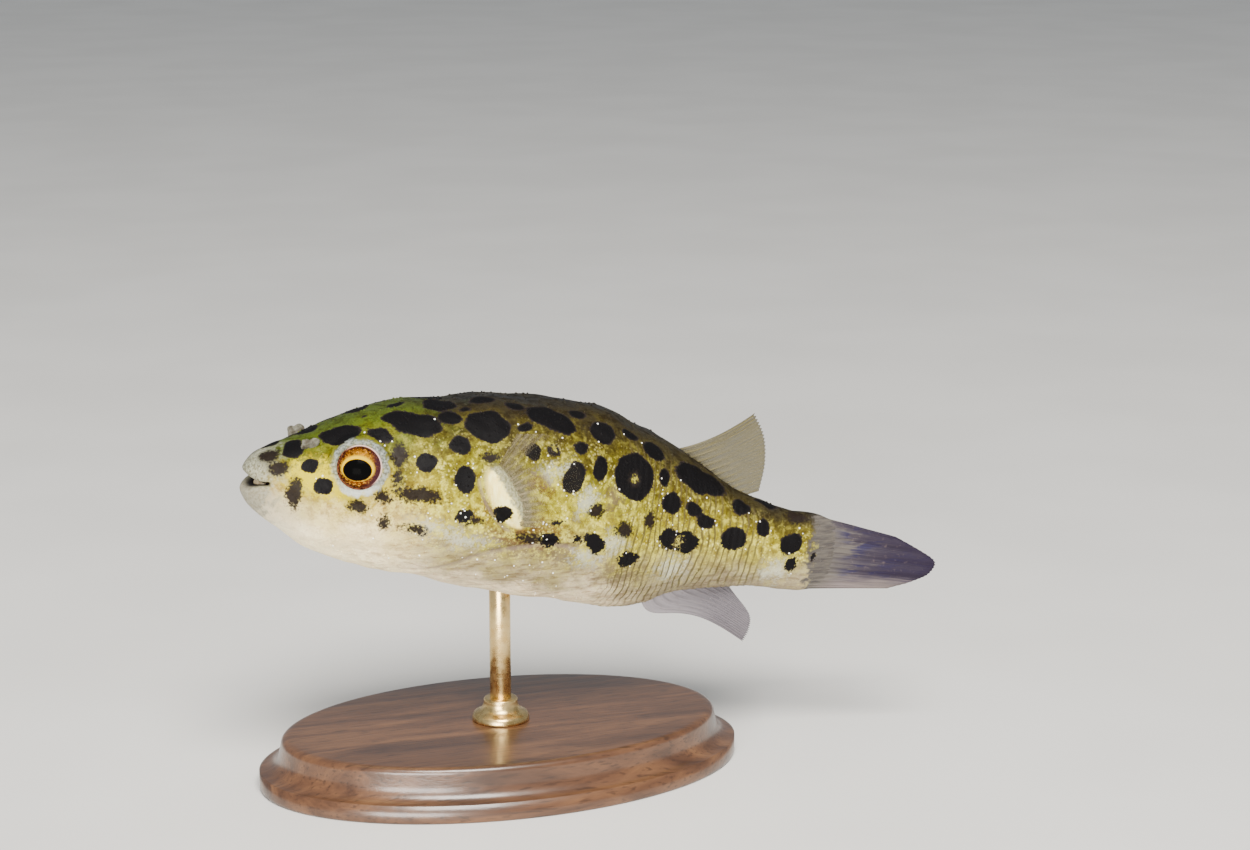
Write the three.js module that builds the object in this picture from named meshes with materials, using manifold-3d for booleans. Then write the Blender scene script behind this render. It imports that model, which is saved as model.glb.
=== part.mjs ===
// A life-size spotted river puffer on a small museum stand.
// Millimetres, +Z up. The origin is the centre of the plinth's underside.
// The fish is drawn straight first: S runs from the snout (0) to the tail, Y to its right, Z to its back.
// Then its tail is bent to its left, and the whole fish is pitched head-up inside a group.
import * as THREE from "three";
import { ParametricGeometry } from "three/addons/geometries/ParametricGeometry.js";
import { mergeVertices } from "three/addons/utils/BufferGeometryUtils.js";
import Module from "manifold-3d";

const wasm = await Module();
wasm.setup();

// ---- driving dimensions -------------------------------------------------------------------
const GAP = 0.3; // free space between two pieces that meet
const FLESH_END = 73; // where the flesh of the tail stalk ends, inside the tail fin's root
const SNOUT_ROUND = 2.0; // length over which the snout rounds off
const TAIL_ROUND = 3.0; // length over which the tail stalk thins to an edge
const PITCH = THREE.MathUtils.degToRad(11); // head-up pitch of the fish
const TAIL_BEND = THREE.MathUtils.degToRad(19); // turn of the tail to the left
const BEND_FROM = 34;
const BEND_TO = 78;

// Half-sections along S: height of the back, depth of the belly, half-width, level of the widest line.
const BACK = [
  [0, 2.5], [3, 4.2], [6, 5.7], [9, 7.5], [13, 9.6], [17, 11.0], [22, 11.9], [27, 13.0], [33, 13.3],
  [38, 13.4], [42, 13.1], [46, 11.8], [50.5, 10.0], [55, 8.0], [59.5, 5.7], [64, 4.5], [69, 4.1], [73, 4.2],
];
const BELLY = [
  [0, 1.9], [3, 3.9], [6, 5.6], [10, 7.2], [16, 8.5], [20.5, 8.6], [25, 9.2], [34, 9.8], [42, 10.2],
  [47, 10.2], [50.5, 9.4], [53.5, 7.8], [58, 6.7], [64, 5.7], [70, 5.2], [73, 4.9],
];
const HALF_WIDTH = [
  [0, 2.2], [3, 3.9], [8, 6.2], [13, 7.9], [20, 9.5], [28, 10.3], [36, 10.2], [44, 8.8], [50, 7.0],
  [56, 5.2], [62, 3.6], [68, 2.3], [73, 1.5],
];
const WIDEST_LEVEL = [[0, 0], [8, 0.2], [16, 0.3], [30, 0], [45, -0.2], [60, -0.3], [73, -0.2]];
const SQUARENESS_ABOVE = 2.25; // superellipse powers of the section above and below its widest line
const SQUARENESS_BELOW = 2.15;

const MUZZLE_CUT = 4.3; // where the lips part from the head
const GILL_CUT = 23.5; // where the head parts from the trunk
const VENT_CUT = 50.5; // where the trunk parts from the tail stalk
const BELLY_CUT_LEVEL = -5.6; // where the soft belly parts from the flanks
const BELLY_CUT_TILT = THREE.MathUtils.degToRad(-2);

const EYE = { radius: 3.5, centre: [12.3, 4.85, 3.55], axis: [-0.33, 0.9, 0.28] };
const NOSTRIL = { at: [6.4, 3.3, 5.45], lean: 0.5, length: 0.95, thickness: 0.5, height: 1.25 };
const MOUTH = { level: 0.05, slit: 0.4, gape: 1.0, gapeDepth: 1.7, pocket: [1.5, 2.0, 0.95], pocketAt: 2.1 };
const BEAK = { at: 1.7, size: [1.0, 1.4, 0.62] };

const STALK_HEIGHT = 22; // height of the belly above the floor, at the rod
const ROD = { radius: 1.25, at: 33, intoBelly: 3, intoPlinth: 2.7 };
const COLLAR = { radius: 3.4, height: 2.4 };
const PLINTH = { length: 58, width: 36, height: 6 };

// ---- small tools --------------------------------------------------------------------------
// A smooth height y(x) through a few [x, y] points: cubic pieces whose slope at a point is its neighbours' slope.
function profile(points) {
  const last = points.length - 1;
  const slope = points.map((_, i) => {
    const a = points[Math.max(i - 1, 0)];
    const b = points[Math.min(i + 1, last)];
    return (b[1] - a[1]) / (b[0] - a[0]);
  });
  return (x) => {
    let i = points.findIndex((p, k) => k < last && x < points[k + 1][0]);
    if (i < 0) i = last - 1;
    const [x0, y0] = points[i];
    const [x1, y1] = points[i + 1];
    const h = x1 - x0;
    const t = THREE.MathUtils.clamp((x - x0) / h, 0, 1);
    return (
      (2 * t ** 3 - 3 * t ** 2 + 1) * y0 +
      (t ** 3 - 2 * t ** 2 + t) * h * slope[i] +
      (3 * t ** 2 - 2 * t ** 3) * y1 +
      (t ** 3 - t ** 2) * h * slope[i + 1]
    );
  };
}

// A closed geometry as a manifold-3d solid. Its shared vertices are merged and empty triangles dropped.
function solidOf(geometry) {
  const bare = geometry.index ? geometry.toNonIndexed() : geometry.clone();
  bare.deleteAttribute("normal");
  bare.deleteAttribute("uv");
  const merged = mergeVertices(bare, 1e-4);
  const triVerts = [];
  for (let i = 0; i < merged.index.count; i += 3) {
    const [a, b, c] = [0, 1, 2].map((k) => merged.index.getX(i + k));
    if (a !== b && b !== c && c !== a) triVerts.push(a, b, c);
  }
  const vertProperties = new Float32Array(merged.attributes.position.array);
  const make = (indices) =>
    new wasm.Manifold(new wasm.Mesh({ numProp: 3, vertProperties, triVerts: new Uint32Array(indices) }));
  const made = make(triVerts);
  if (made.volume() > 0) return made;
  const turned = triVerts.slice();
  for (let i = 0; i < turned.length; i += 3) [turned[i + 1], turned[i + 2]] = [turned[i + 2], turned[i + 1]];
  return make(turned);
}

function geometryOf(solid) {
  const mesh = solid.getMesh();
  const xyz = new Float32Array(mesh.numVert * 3);
  for (let i = 0; i < mesh.numVert; i++) {
    xyz.set(mesh.vertProperties.subarray(i * mesh.numProp, i * mesh.numProp + 3), i * 3);
  }
  const geometry = new THREE.BufferGeometry();
  geometry.setAttribute("position", new THREE.BufferAttribute(xyz, 3));
  geometry.setIndex(new THREE.BufferAttribute(mesh.triVerts, 1));
  return geometry;
}

// The largest body of a solid, which drops slivers that a cut leaves.
function largest(solid) {
  return solid.decompose().sort((a, b) => b.volume() - a.volume())[0];
}

const side = (name) => (name === "left" ? -1 : 1);

function ellipsoid([a, b, c], columns = 14, rows = 10) {
  return new THREE.SphereGeometry(1, columns, rows).rotateX(Math.PI / 2).scale(a, b, c);
}

// ---- the body -----------------------------------------------------------------------------
const back = profile(BACK);
const belly = profile(BELLY);
const halfWidth = profile(HALF_WIDTH);
const widestLevel = profile(WIDEST_LEVEL);

// 1 along the body, falling to 0 at an end in a rounded nose of the given length.
function rounding(distance, length) {
  const inside = THREE.MathUtils.clamp(1 - distance / length, 0, 1);
  return (1 - inside ** 2.4) ** (1 / 2.4);
}

// The point of the body's surface at s and at an angle from the back, grown outwards by `grow`.
function bodyPoint(s, angle, grow, target) {
  const nose = rounding(s + grow, SNOUT_ROUND);
  const edge = rounding(FLESH_END + grow - s, TAIL_ROUND);
  const level = widestLevel(s) * nose;
  const above = Math.cos(angle) > 0;
  const reach = ((above ? back(s) : belly(s)) + grow) * nose - (above ? level : -level);
  const power = 2 / (above ? SQUARENESS_ABOVE : SQUARENESS_BELOW);
  return target.set(
    s,
    (halfWidth(s) + grow) * nose * edge * Math.sign(Math.sin(angle)) * Math.abs(Math.sin(angle)) ** power,
    level + reach * Math.sign(Math.cos(angle)) * Math.abs(Math.cos(angle)) ** power,
  );
}

function bodyGeometry(grow = 0, along = 38, around = 28) {
  const length = FLESH_END + 2 * grow;
  const surface = (u, v, target) => bodyPoint(length * u ** 1.25 - grow, 2 * Math.PI * v, grow, target);
  return new ParametricGeometry(surface, along, around);
}

// ---- the eyes, nostrils and mouth ---------------------------------------------------------
function eyeball(name, grow = 0) {
  const [s, y, z] = EYE.centre;
  return ellipsoid(Array(3).fill(EYE.radius + grow), 18, 12).translate(s, side(name) * y, z);
}

// A short two-lobed flap: two small ellipsoids side by side, leaning outwards.
function nostril(name) {
  const { at, lean, length, thickness, height } = NOSTRIL;
  const lobe = (shift, size) =>
    solidOf(
      ellipsoid([length * size, thickness, height * size], 8, 6)
        .rotateY(shift * 0.35)
        .translate(shift * length * 0.45, 0, shift * 0.1)
        .rotateX(-side(name) * lean)
        .translate(at[0], side(name) * at[1], at[2]),
    );
  return lobe(-1, 0.85).add(lobe(1, 1)).subtract(solidOf(bodyGeometry(GAP)));
}

// The open mouth: a thin slit that flares towards the front, with a pocket behind it for the beak.
function mouthSpace() {
  const { level, slit, gape, gapeDepth, pocket, pocketAt } = MOUTH;
  const outline = new THREE.Shape();
  outline.moveTo(-3, -gape);
  outline.lineTo(0, -gape);
  outline.quadraticCurveTo(gapeDepth * 0.4, -slit / 2, gapeDepth, -slit / 2);
  outline.lineTo(MUZZLE_CUT + 1, -slit / 2);
  outline.lineTo(MUZZLE_CUT + 1, slit / 2);
  outline.lineTo(gapeDepth, slit / 2);
  outline.quadraticCurveTo(gapeDepth * 0.4, slit / 2, 0, gape);
  outline.lineTo(-3, gape);
  const wedge = new THREE.ExtrudeGeometry(outline, { depth: 16, bevelEnabled: false, curveSegments: 6 });
  const opening = solidOf(wedge.translate(0, 0, -8).rotateX(Math.PI / 2).translate(0, 0, level));
  return opening.add(solidOf(ellipsoid(pocket, 12, 8).translate(pocketAt, 0, level)));
}

// One tooth plate of the beak, above (1) or below (-1) the slit.
function toothPlate(up) {
  const plate = solidOf(ellipsoid(BEAK.size, 12, 8).translate(BEAK.at, 0, MOUTH.level));
  const away = solidOf(new THREE.BoxGeometry(8, 8, 4).translate(BEAK.at, 0, MOUTH.level - up * (2 - GAP / 2)));
  return plate.subtract(away);
}

// ---- the fins -----------------------------------------------------------------------------
const curveOf = (points) => new THREE.CatmullRomCurve3(points.map((p) => new THREE.Vector3(...p)));

// A thin closed sheet between a root curve and a margin curve, which rays join. At the leading edge,
// `swell` lifts the rays near the root and `hollow` half-way out; `pleat` folds the sheet between rays.
function finGeometry({ root, margin, thickness, rays = 12, steps = 6, swell = 0, hollow = 0, pleat = 0, folds = 5 }) {
  const rootCurve = curveOf(root);
  const marginCurve = curveOf(margin);
  const middle = (t, r) => {
    const point = rootCurve.getPoint(t).lerp(marginCurve.getPoint(t), r);
    const nearRoot = 4.3 * Math.sqrt(r) * (1 - r) ** 4;
    const halfWay = 4 * r * (1 - r);
    point.z += (1 - t) ** 2 * (swell * nearRoot + hollow * halfWay);
    point.y += pleat * Math.sin(2 * Math.PI * folds * t) * Math.min(1, 2 * r) * (1 - 0.4 * r);
    return point;
  };
  const across = (t, r) => {
    const d = 0.01;
    const alongRoot = middle(Math.min(t + d, 1), r).sub(middle(Math.max(t - d, 0), r));
    const alongRay = middle(t, Math.min(r + d, 1)).sub(middle(t, Math.max(r - d, 0)));
    return alongRoot.cross(alongRay).normalize();
  };
  const [thick, thin] = thickness;
  // v goes round the sheet: out along one face and back along the other.
  const surface = (u, v, target) => {
    const out = v < 0.5;
    const r = out ? v * 2 : (1 - v) * 2;
    const half = (thick + (thin - thick) * Math.sqrt(r)) / 2;
    return target.copy(middle(u, r)).addScaledVector(across(u, r), out ? half : -half);
  };
  return closedStrip(surface, rays, steps);
}

// A closed mesh from surface(u, v): v runs round a flat loop with 2 x (steps + 1) points, and both ends are capped.
function closedStrip(surface, rays, steps) {
  const loop = 2 * (steps + 1);
  const xyz = [];
  const point = new THREE.Vector3();
  for (let i = 0; i <= rays; i++) {
    for (let j = 0; j < loop; j++) {
      const r = j <= steps ? j / steps : (loop - 1 - j) / steps;
      surface(i / rays, j <= steps ? (r / 2) * 0.999999 : 1 - r / 2, point);
      xyz.push(point.x, point.y, point.z);
    }
  }
  const index = [];
  const quad = (a, b, c, d) => index.push(a, b, c, a, c, d);
  for (let i = 0; i < rays; i++) {
    for (let j = 0; j < loop; j++) {
      const k = (j + 1) % loop;
      quad(i * loop + j, (i + 1) * loop + j, (i + 1) * loop + k, i * loop + k);
    }
  }
  for (let j = 0; j < steps; j++) {
    const opposite = loop - 1 - j;
    quad(j, j + 1, opposite - 1, opposite);
    const end = rays * loop;
    quad(end + opposite, end + opposite - 1, end + j + 1, end + j);
  }
  const geometry = new THREE.BufferGeometry();
  geometry.setAttribute("position", new THREE.Float32BufferAttribute(xyz, 3));
  geometry.setIndex(index);
  return geometry;
}

const DORSAL = {
  root: [[50.2, 0, 9.0], [55.4, 0.1, 6.6], [60.0, 0, 4.6]],
  margin: [[59.5, 0.9, 15.0], [61.6, 1.2, 12.3], [62.7, 1.1, 9.1], [62.6, 0.6, 5.7]],
  thickness: [1.5, 0.5],
  hollow: -1.0,
};
const ANAL = {
  root: [[50.6, 0, -8.2], [55.6, 0, -6.2], [60.2, 0, -5.4]],
  margin: [[63.9, -0.8, -12.5], [64.3, -1.1, -10.8], [64.0, -1.0, -9.0], [61.8, -0.4, -6.9]],
  thickness: [1.8, 0.5],
  swell: -2.4,
  hollow: 0.55,
};
const TAIL_FIN = {
  root: [[69.2, 0, 4.0], [70.4, 0, 1.6], [70.8, 0, -0.6], [70.8, 0, -2.8], [70.2, 0, -5.0]],
  margin: [
    [79.8, 0, 3.8], [82.9, 0, 2.6], [85.0, 0, 1.1], [83.7, 0, -0.9], [81.4, 0, -2.2], [80.0, 0, -3.3],
  ],
  thickness: [1.6, 0.55],
  rays: 18,
  steps: 5,
  pleat: 0.35,
  folds: 4.5,
};
// The left pectoral fin stands out as a fan. The right one is swept back, lower and closer to the body.
const PECTORAL = {
  root: [[26.9, 9.4, 6.8], [28.6, 10.2, 3.6], [30.4, 10.4, 0.2]],
  margin: {
    left: [
      [26.6, 14.2, 11.4], [30.4, 15.6, 11.9], [33.3, 15.5, 10.1], [35.3, 15.2, 6.6], [35.8, 14.6, 3.4],
      [34.9, 13.6, 0.8],
    ],
    right: [
      [29.4, 12.2, 9.3], [33.2, 13.6, 9.0], [35.9, 14.2, 7.1], [37.6, 14.3, 4.3], [37.6, 13.9, 1.6],
      [36.4, 13.2, -0.8],
    ],
  },
  thickness: [0.9, 0.5],
  steps: 5,
};
const PECTORAL_LOBE = { at: [28.0, 9.6, 3.2], size: [1.8, 1.9, 4.9], lean: 0.62, turn: 0.2 };

function pectoralFin(name) {
  const flip = (points) => points.map(([s, y, z]) => [s, side(name) * y, z]);
  return finGeometry({ ...PECTORAL, root: flip(PECTORAL.root), margin: flip(PECTORAL.margin[name]) });
}

function pectoralLobe(name, grow = 0) {
  const { at, size, lean, turn } = PECTORAL_LOBE;
  return ellipsoid(size.map((r) => r + grow))
    .rotateY(-lean)
    .rotateX(side(name) * turn * -1)
    .translate(at[0], side(name) * at[1], at[2]);
}

// ---- cutting the fish into its named parts ------------------------------------------------
const body = solidOf(bodyGeometry());
const grownBody = solidOf(bodyGeometry(GAP));
const beyond = (s, towardsTail, lean = 0) =>
  solidOf(
    new THREE.BoxGeometry(120, 80, 80)
      .translate(towardsTail ? 60 + GAP / 2 : -60 - GAP / 2, 0, 0)
      .rotateY(lean)
      .translate(s, 0, 0),
  );
const between = (solid, from, to) => {
  let kept = solid;
  if (from) kept = kept.intersect(beyond(from.s, true, from.lean));
  if (to) kept = kept.intersect(beyond(to.s, false, to.lean));
  return largest(kept);
};
const muzzle = { s: MUZZLE_CUT, lean: 0 };
const gill = { s: GILL_CUT, lean: -0.22 };
const vent = { s: VENT_CUT, lean: 0.12 };

const below = solidOf(
  new THREE.BoxGeometry(200, 80, 80)
    .translate(0, 0, -40 - GAP / 2)
    .rotateY(-BELLY_CUT_TILT)
    .translate(0, 0, BELLY_CUT_LEVEL),
);
const above = solidOf(
  new THREE.BoxGeometry(200, 80, 80)
    .translate(0, 0, 40 + GAP / 2)
    .rotateY(-BELLY_CUT_TILT)
    .translate(0, 0, BELLY_CUT_LEVEL),
);

const fish = new THREE.Group();
fish.rotation.y = PITCH;
fish.updateMatrix();
const bellyAtRod = new THREE.Vector3(ROD.at, 0, -belly(ROD.at)).applyMatrix4(fish.matrix);
fish.position.set(-bellyAtRod.x, 0, STALK_HEIGHT - bellyAtRod.z);
fish.updateMatrix();

const rodTop = STALK_HEIGHT + ROD.intoBelly;
const rodFoot = PLINTH.height - ROD.intoPlinth;
const standing = (geometry, z) => geometry.rotateX(Math.PI / 2).translate(0, 0, z);
const rodGeometry = (grow = 0) =>
  standing(
    new THREE.CylinderGeometry(ROD.radius + grow, ROD.radius + grow, rodTop - rodFoot + 2 * grow, 24),
    (rodTop + rodFoot) / 2,
  );
const rodInFish = solidOf(rodGeometry(GAP).applyMatrix4(fish.matrix.clone().invert()));

const sides = ["left", "right"];
const mouth = mouthSpace();
const lips = between(body, null, muzzle).subtract(mouth);
const sockets = sides.map((name) => solidOf(eyeball(name, GAP)));
const lobes = sides.map((name) => solidOf(pectoralLobe(name)));
const headWhole = sockets.reduce((kept, socket) => kept.subtract(socket), between(body, muzzle, gill));
const trunkWhole = between(body, gill, vent).subtract(rodInFish);

const fleshSolids = {
  upper_lip: largest(lips.intersect(solidOf(new THREE.BoxGeometry(20, 20, 20).translate(0, 0, 10)))),
  lower_lip: largest(lips.intersect(solidOf(new THREE.BoxGeometry(20, 20, 20).translate(0, 0, -10)))),
  head: largest(headWhole),
  trunk: largest(trunkWhole.intersect(above)),
  belly: largest(trunkWhole.intersect(below)),
  tail_stalk: between(body, vent, null),
};

const fins = {
  dorsal_fin: largest(solidOf(finGeometry(DORSAL)).subtract(grownBody)),
  anal_fin: largest(solidOf(finGeometry(ANAL)).subtract(grownBody)),
};
const tailFin = solidOf(finGeometry(TAIL_FIN));
fins.tail_fin = largest(tailFin.subtract(grownBody));

sides.forEach((name, i) => {
  const grownLobe = solidOf(pectoralLobe(name, GAP));
  fleshSolids["pectoral_base_" + name] = largest(lobes[i].subtract(grownBody));
  fins["pectoral_fin_" + name] = largest(
    solidOf(pectoralFin(name)).subtract(grownBody).subtract(grownLobe),
  );
  fleshSolids["nostril_" + name] = largest(nostril(name));
});

// ---- bending, and placing the meshes ------------------------------------------------------
// The spine in plan: straight as far as BEND_FROM, then turning smoothly by TAIL_BEND.
const heading = (s) => TAIL_BEND * THREE.MathUtils.smoothstep(s, BEND_FROM, BEND_TO);
const SPINE_STEP = 0.5;
const spine = [{ s: -10, x: -10, y: 0 }];
while (spine.at(-1).s < 95) {
  const { s, x, y } = spine.at(-1);
  const turn = heading(s + SPINE_STEP / 2);
  spine.push({ s: s + SPINE_STEP, x: x + SPINE_STEP * Math.cos(turn), y: y - SPINE_STEP * Math.sin(turn) });
}

function bent(geometry) {
  const at = geometry.attributes.position;
  for (let i = 0; i < at.count; i++) {
    const [s, y] = [at.getX(i), at.getY(i)];
    const place = (s - spine[0].s) / SPINE_STEP;
    const k = Math.min(Math.floor(place), spine.length - 2);
    const [a, b] = [spine[k], spine[k + 1]];
    const x = THREE.MathUtils.lerp(a.x, b.x, place - k);
    const aside = THREE.MathUtils.lerp(a.y, b.y, place - k);
    at.setXY(i, x + Math.sin(heading(s)) * y, aside + Math.cos(heading(s)) * y);
  }
  return geometry;
}

const material = (color, roughness, metalness = 0) =>
  new THREE.MeshStandardMaterial({ color, roughness, metalness, flatShading: true });
const SKIN = material(0xb9a84f, 0.35);
const BELLY_SKIN = material(0xd9d2bf, 0.4);
const LIP = material(0x9fa3a0, 0.4);
const FIN = material(0x8f8a9c, 0.45);
const TOOTH = material(0xe9e2cc, 0.3);
const IRIS = material(0xc9781f, 0.1);
const WALNUT = material(0x4a2c1b, 0.4);
const BRASS = material(0xb08d4a, 0.3, 1);

function add(group, name, geometry, look) {
  const mesh = new THREE.Mesh(geometry, look);
  mesh.name = name;
  group.add(mesh);
}

const LOOKS = {
  upper_lip: LIP, lower_lip: LIP, belly: BELLY_SKIN, nostril_left: LIP, nostril_right: LIP,
  pectoral_base_left: BELLY_SKIN, pectoral_base_right: BELLY_SKIN,
};
for (const [name, solid] of Object.entries(fleshSolids)) {
  add(fish, name, bent(geometryOf(solid)), LOOKS[name] ?? SKIN);
}
for (const [name, solid] of Object.entries(fins)) add(fish, name, bent(geometryOf(solid)), FIN);
for (const name of sides) add(fish, "eye_" + name, bent(eyeball(name)), IRIS);
add(fish, "beak_upper", bent(geometryOf(toothPlate(1))), TOOTH);
add(fish, "beak_lower", bent(geometryOf(toothPlate(-1))), TOOTH);

// ---- the stand ----------------------------------------------------------------------------
// A turned oval plinth: a foot, a hollow moulding and a rounded top edge, with a bore for the rod.
function plinthGeometry() {
  const r = PLINTH.length / 2;
  const h = PLINTH.height;
  const edge = new THREE.Path();
  edge.moveTo(0, 0);
  edge.lineTo(r - 0.5, 0);
  edge.lineTo(r, 0.5);
  edge.lineTo(r, 2.2);
  edge.quadraticCurveTo(r - 2.2, 2.4, r - 2.4, 4.2);
  edge.quadraticCurveTo(r - 2.6, h, r - 4.0, h);
  edge.lineTo(0, h);
  const turned = new THREE.LatheGeometry(edge.getPoints(3), 36);
  return turned.rotateX(Math.PI / 2).scale(1, PLINTH.width / PLINTH.length, 1);
}

// A low brass ring round the rod, on the plinth.
function collarGeometry() {
  const bore = ROD.radius + GAP;
  const foot = PLINTH.height + GAP;
  const top = foot + COLLAR.height;
  const edge = [
    [bore, foot], [COLLAR.radius, foot], [COLLAR.radius, foot + 0.7], [COLLAR.radius - 0.9, foot + 1.1],
    [bore + 0.6, top], [bore, top], [bore, foot],
  ].map(([x, z]) => new THREE.Vector2(x, z));
  return new THREE.LatheGeometry(edge, 24).rotateX(Math.PI / 2);
}

const stand = new THREE.Group();
add(stand, "stand_plinth", geometryOf(solidOf(plinthGeometry()).subtract(solidOf(rodGeometry(GAP)))), WALNUT);
add(stand, "stand_collar", collarGeometry(), BRASS);
add(stand, "stand_rod", rodGeometry(), BRASS);

const model = new THREE.Group();
model.add(fish, stand);
export default model;
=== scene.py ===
# %% [markdown]
# # A spotted freshwater pufferfish on a display stand
# A life-size museum model of a small pufferfish: a spotted skin with fine papillae, golden eyes,
# a beak in a slightly open mouth, thin rayed fins and a turned wooden stand with a brass rod.
# The solid model is loaded first as a fixed frame. Every piece made below is worked out in the
# same millimetres as that frame, so nothing has to be fitted by hand afterwards.

# %% The frame
import math
from collections import namedtuple

import bpy
import numpy as np
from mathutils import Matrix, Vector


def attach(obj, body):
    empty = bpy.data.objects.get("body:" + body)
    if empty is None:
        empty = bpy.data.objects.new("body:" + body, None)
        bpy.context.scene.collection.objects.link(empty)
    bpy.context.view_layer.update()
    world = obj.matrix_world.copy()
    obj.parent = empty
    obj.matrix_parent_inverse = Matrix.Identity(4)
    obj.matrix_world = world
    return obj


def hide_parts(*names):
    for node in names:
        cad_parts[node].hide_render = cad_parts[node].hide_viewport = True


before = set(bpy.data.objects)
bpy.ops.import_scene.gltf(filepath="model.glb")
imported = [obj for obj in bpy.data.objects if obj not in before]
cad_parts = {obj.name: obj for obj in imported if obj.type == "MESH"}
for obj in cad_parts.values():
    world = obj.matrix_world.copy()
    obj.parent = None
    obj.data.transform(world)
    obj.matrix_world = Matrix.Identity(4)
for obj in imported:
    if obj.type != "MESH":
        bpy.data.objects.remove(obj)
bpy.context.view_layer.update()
print("solid parts:", len(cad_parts))

# %% [markdown]
# ## The fish's own measures
# The fish is described lying straight: `s` runs from the snout to the tail, `y` to its right and
# `z` to its back. A few heights and widths along `s` give the whole body. All are millimetres.

# %% Measures of the body
MM = 0.001
FLESH_END = 73.0
SNOUT_ROUND = 2.0
TAIL_ROUND = 3.0
ROUND_POWER = 2.4
BACK = [
    (0, 2.5), (3, 4.2), (6, 5.7), (9, 7.5), (13, 9.6), (17, 11.0), (22, 11.9), (27, 13.0), (33, 13.3),
    (38, 13.4), (42, 13.1), (46, 11.8), (50.5, 10.0), (55, 8.0), (59.5, 5.7), (64, 4.5), (69, 4.1),
    (73, 4.2),
]
BELLY = [
    (0, 1.9), (3, 3.9), (6, 5.6), (10, 7.2), (16, 8.5), (20.5, 8.6), (25, 9.2), (34, 9.8), (42, 10.2),
    (47, 10.2), (50.5, 9.4), (53.5, 7.8), (58, 6.7), (64, 5.7), (70, 5.2), (73, 4.9),
]
HALF_WIDTH = [
    (0, 2.2), (3, 3.9), (8, 6.2), (13, 7.9), (20, 9.5), (28, 10.3), (36, 10.2), (44, 8.8), (50, 7.0),
    (56, 5.2), (62, 3.6), (68, 2.3), (73, 1.5),
]
WIDEST_LEVEL = [(0, 0), (8, 0.2), (16, 0.3), (30, 0), (45, -0.2), (60, -0.3), (73, -0.2)]
SQUARENESS_ABOVE = 2.25
SQUARENESS_BELOW = 2.15
PITCH = math.radians(11)
TAIL_BEND = math.radians(19)
BEND_FROM = 34
BEND_TO = 78
ROD_AT = 33
STALK_HEIGHT = 22

# %% [markdown]
# A `profile` turns those few heights into a smooth line, `rounding` closes the two ends, and
# `smooth_step` is the soft switch from 0 to 1 that most masks below are made of.

# %% Smooth lines through a few heights
def profile(points, x):
    """A cubic through each pair of points; its slope at a point is that of its two neighbours."""
    at, height = np.array(points, float).T
    last = len(at) - 1
    before = np.maximum(np.arange(last + 1) - 1, 0)
    after = np.minimum(np.arange(last + 1) + 1, last)
    slope = (height[after] - height[before]) / (at[after] - at[before])
    i = np.clip(np.searchsorted(at, x, side="right") - 1, 0, last - 1)
    h = at[i + 1] - at[i]
    t = np.clip((x - at[i]) / h, 0, 1)
    rise = t * t * (3 - 2 * t)
    ends = height[i] * (1 - rise) + height[i + 1] * rise
    return ends + h * (t * (1 - t) ** 2 * slope[i] - t * t * (1 - t) * slope[i + 1])


def rounding(distance, length):
    """1 along the body, falling to 0 at an end as a quarter of a superellipse."""
    inside = np.clip(1 - distance / length, 0, 1)
    return (1 - inside**ROUND_POWER) ** (1 / ROUND_POWER)


def smooth_step(x, low, high):
    """0 below low, 1 above high, and a cubic between; low above high turns it round."""
    t = np.clip((x - low) / (high - low), 0, 1)
    return t * t * (3 - 2 * t)


def between(x, low, high, soft):
    """1 from low to high, fading to 0 over `soft` outside both."""
    return smooth_step(x, low - soft, low) * smooth_step(x, high + soft, high)


def unevenness(points, wavelength, seed):
    """Smooth lumps between about -1 and 1: nine waves of like length in seeded directions, added."""
    draw = np.random.default_rng(seed)
    way = draw.normal(size=(9, 3))
    length = wavelength * draw.uniform(0.7, 1.4, (9, 1))
    way *= 2 * np.pi / (length * np.linalg.norm(way, axis=1, keepdims=True))
    return np.sin(points @ way.T + draw.uniform(0, 2 * np.pi, 9)).sum(-1) / 3


# %% [markdown]
# ## From the straight fish to its pose
# The live fish swims with its tail swung to one side and its head a little up. Each piece is made
# straight and posed once by the same function, so skin, eyes and fins stay together.

# %% The pose
STATIONS = np.linspace(-8, 96, 5201)
TURN = TAIL_BEND * smooth_step(STATIONS, BEND_FROM, BEND_TO)
STATION_STEP = STATIONS[1] - STATIONS[0]
HALF_WAY_TURN = (TURN[1:] + TURN[:-1]) / 2
SPINE_X = STATIONS[0] + np.concatenate([[0], np.cumsum(np.cos(HALF_WAY_TURN))]) * STATION_STEP
SPINE_Y = -np.concatenate([[0], np.cumsum(np.sin(HALF_WAY_TURN))]) * STATION_STEP


def tip_up(x, z):
    """Turns a point head-up in the plane of the fish's side."""
    return x * math.cos(PITCH) + z * math.sin(PITCH), z * math.cos(PITCH) - x * math.sin(PITCH)


ROD_TOP = tip_up(ROD_AT, -profile(BELLY, ROD_AT))


def pose(points):
    """Straight fish in millimetres to the frame in metres: bent along the spine, tipped up, lifted."""
    s, y, z = np.moveaxis(np.asarray(points, float), -1, 0)
    turn = np.interp(s, STATIONS, TURN)
    x, z = tip_up(np.interp(s, STATIONS, SPINE_X) + np.sin(turn) * y, z)
    side = np.interp(s, STATIONS, SPINE_Y) + np.cos(turn) * y
    return np.stack([x - ROD_TOP[0], side, z - ROD_TOP[1] + STALK_HEIGHT], -1) * MM


print("snout tip in the frame:", pose([0, 0, 0]).round(4))

# %% [markdown]
# ## Turning arrays into meshes
# Every piece is a grid of points: `grid_faces` joins neighbours into quads, `closed_tube` shuts
# both ends as well, and `make_piece` puts points, faces and per-point values into a Blender mesh.
# Points and faces from several grids can be joined first, so that one piece holds many shapes.

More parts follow.
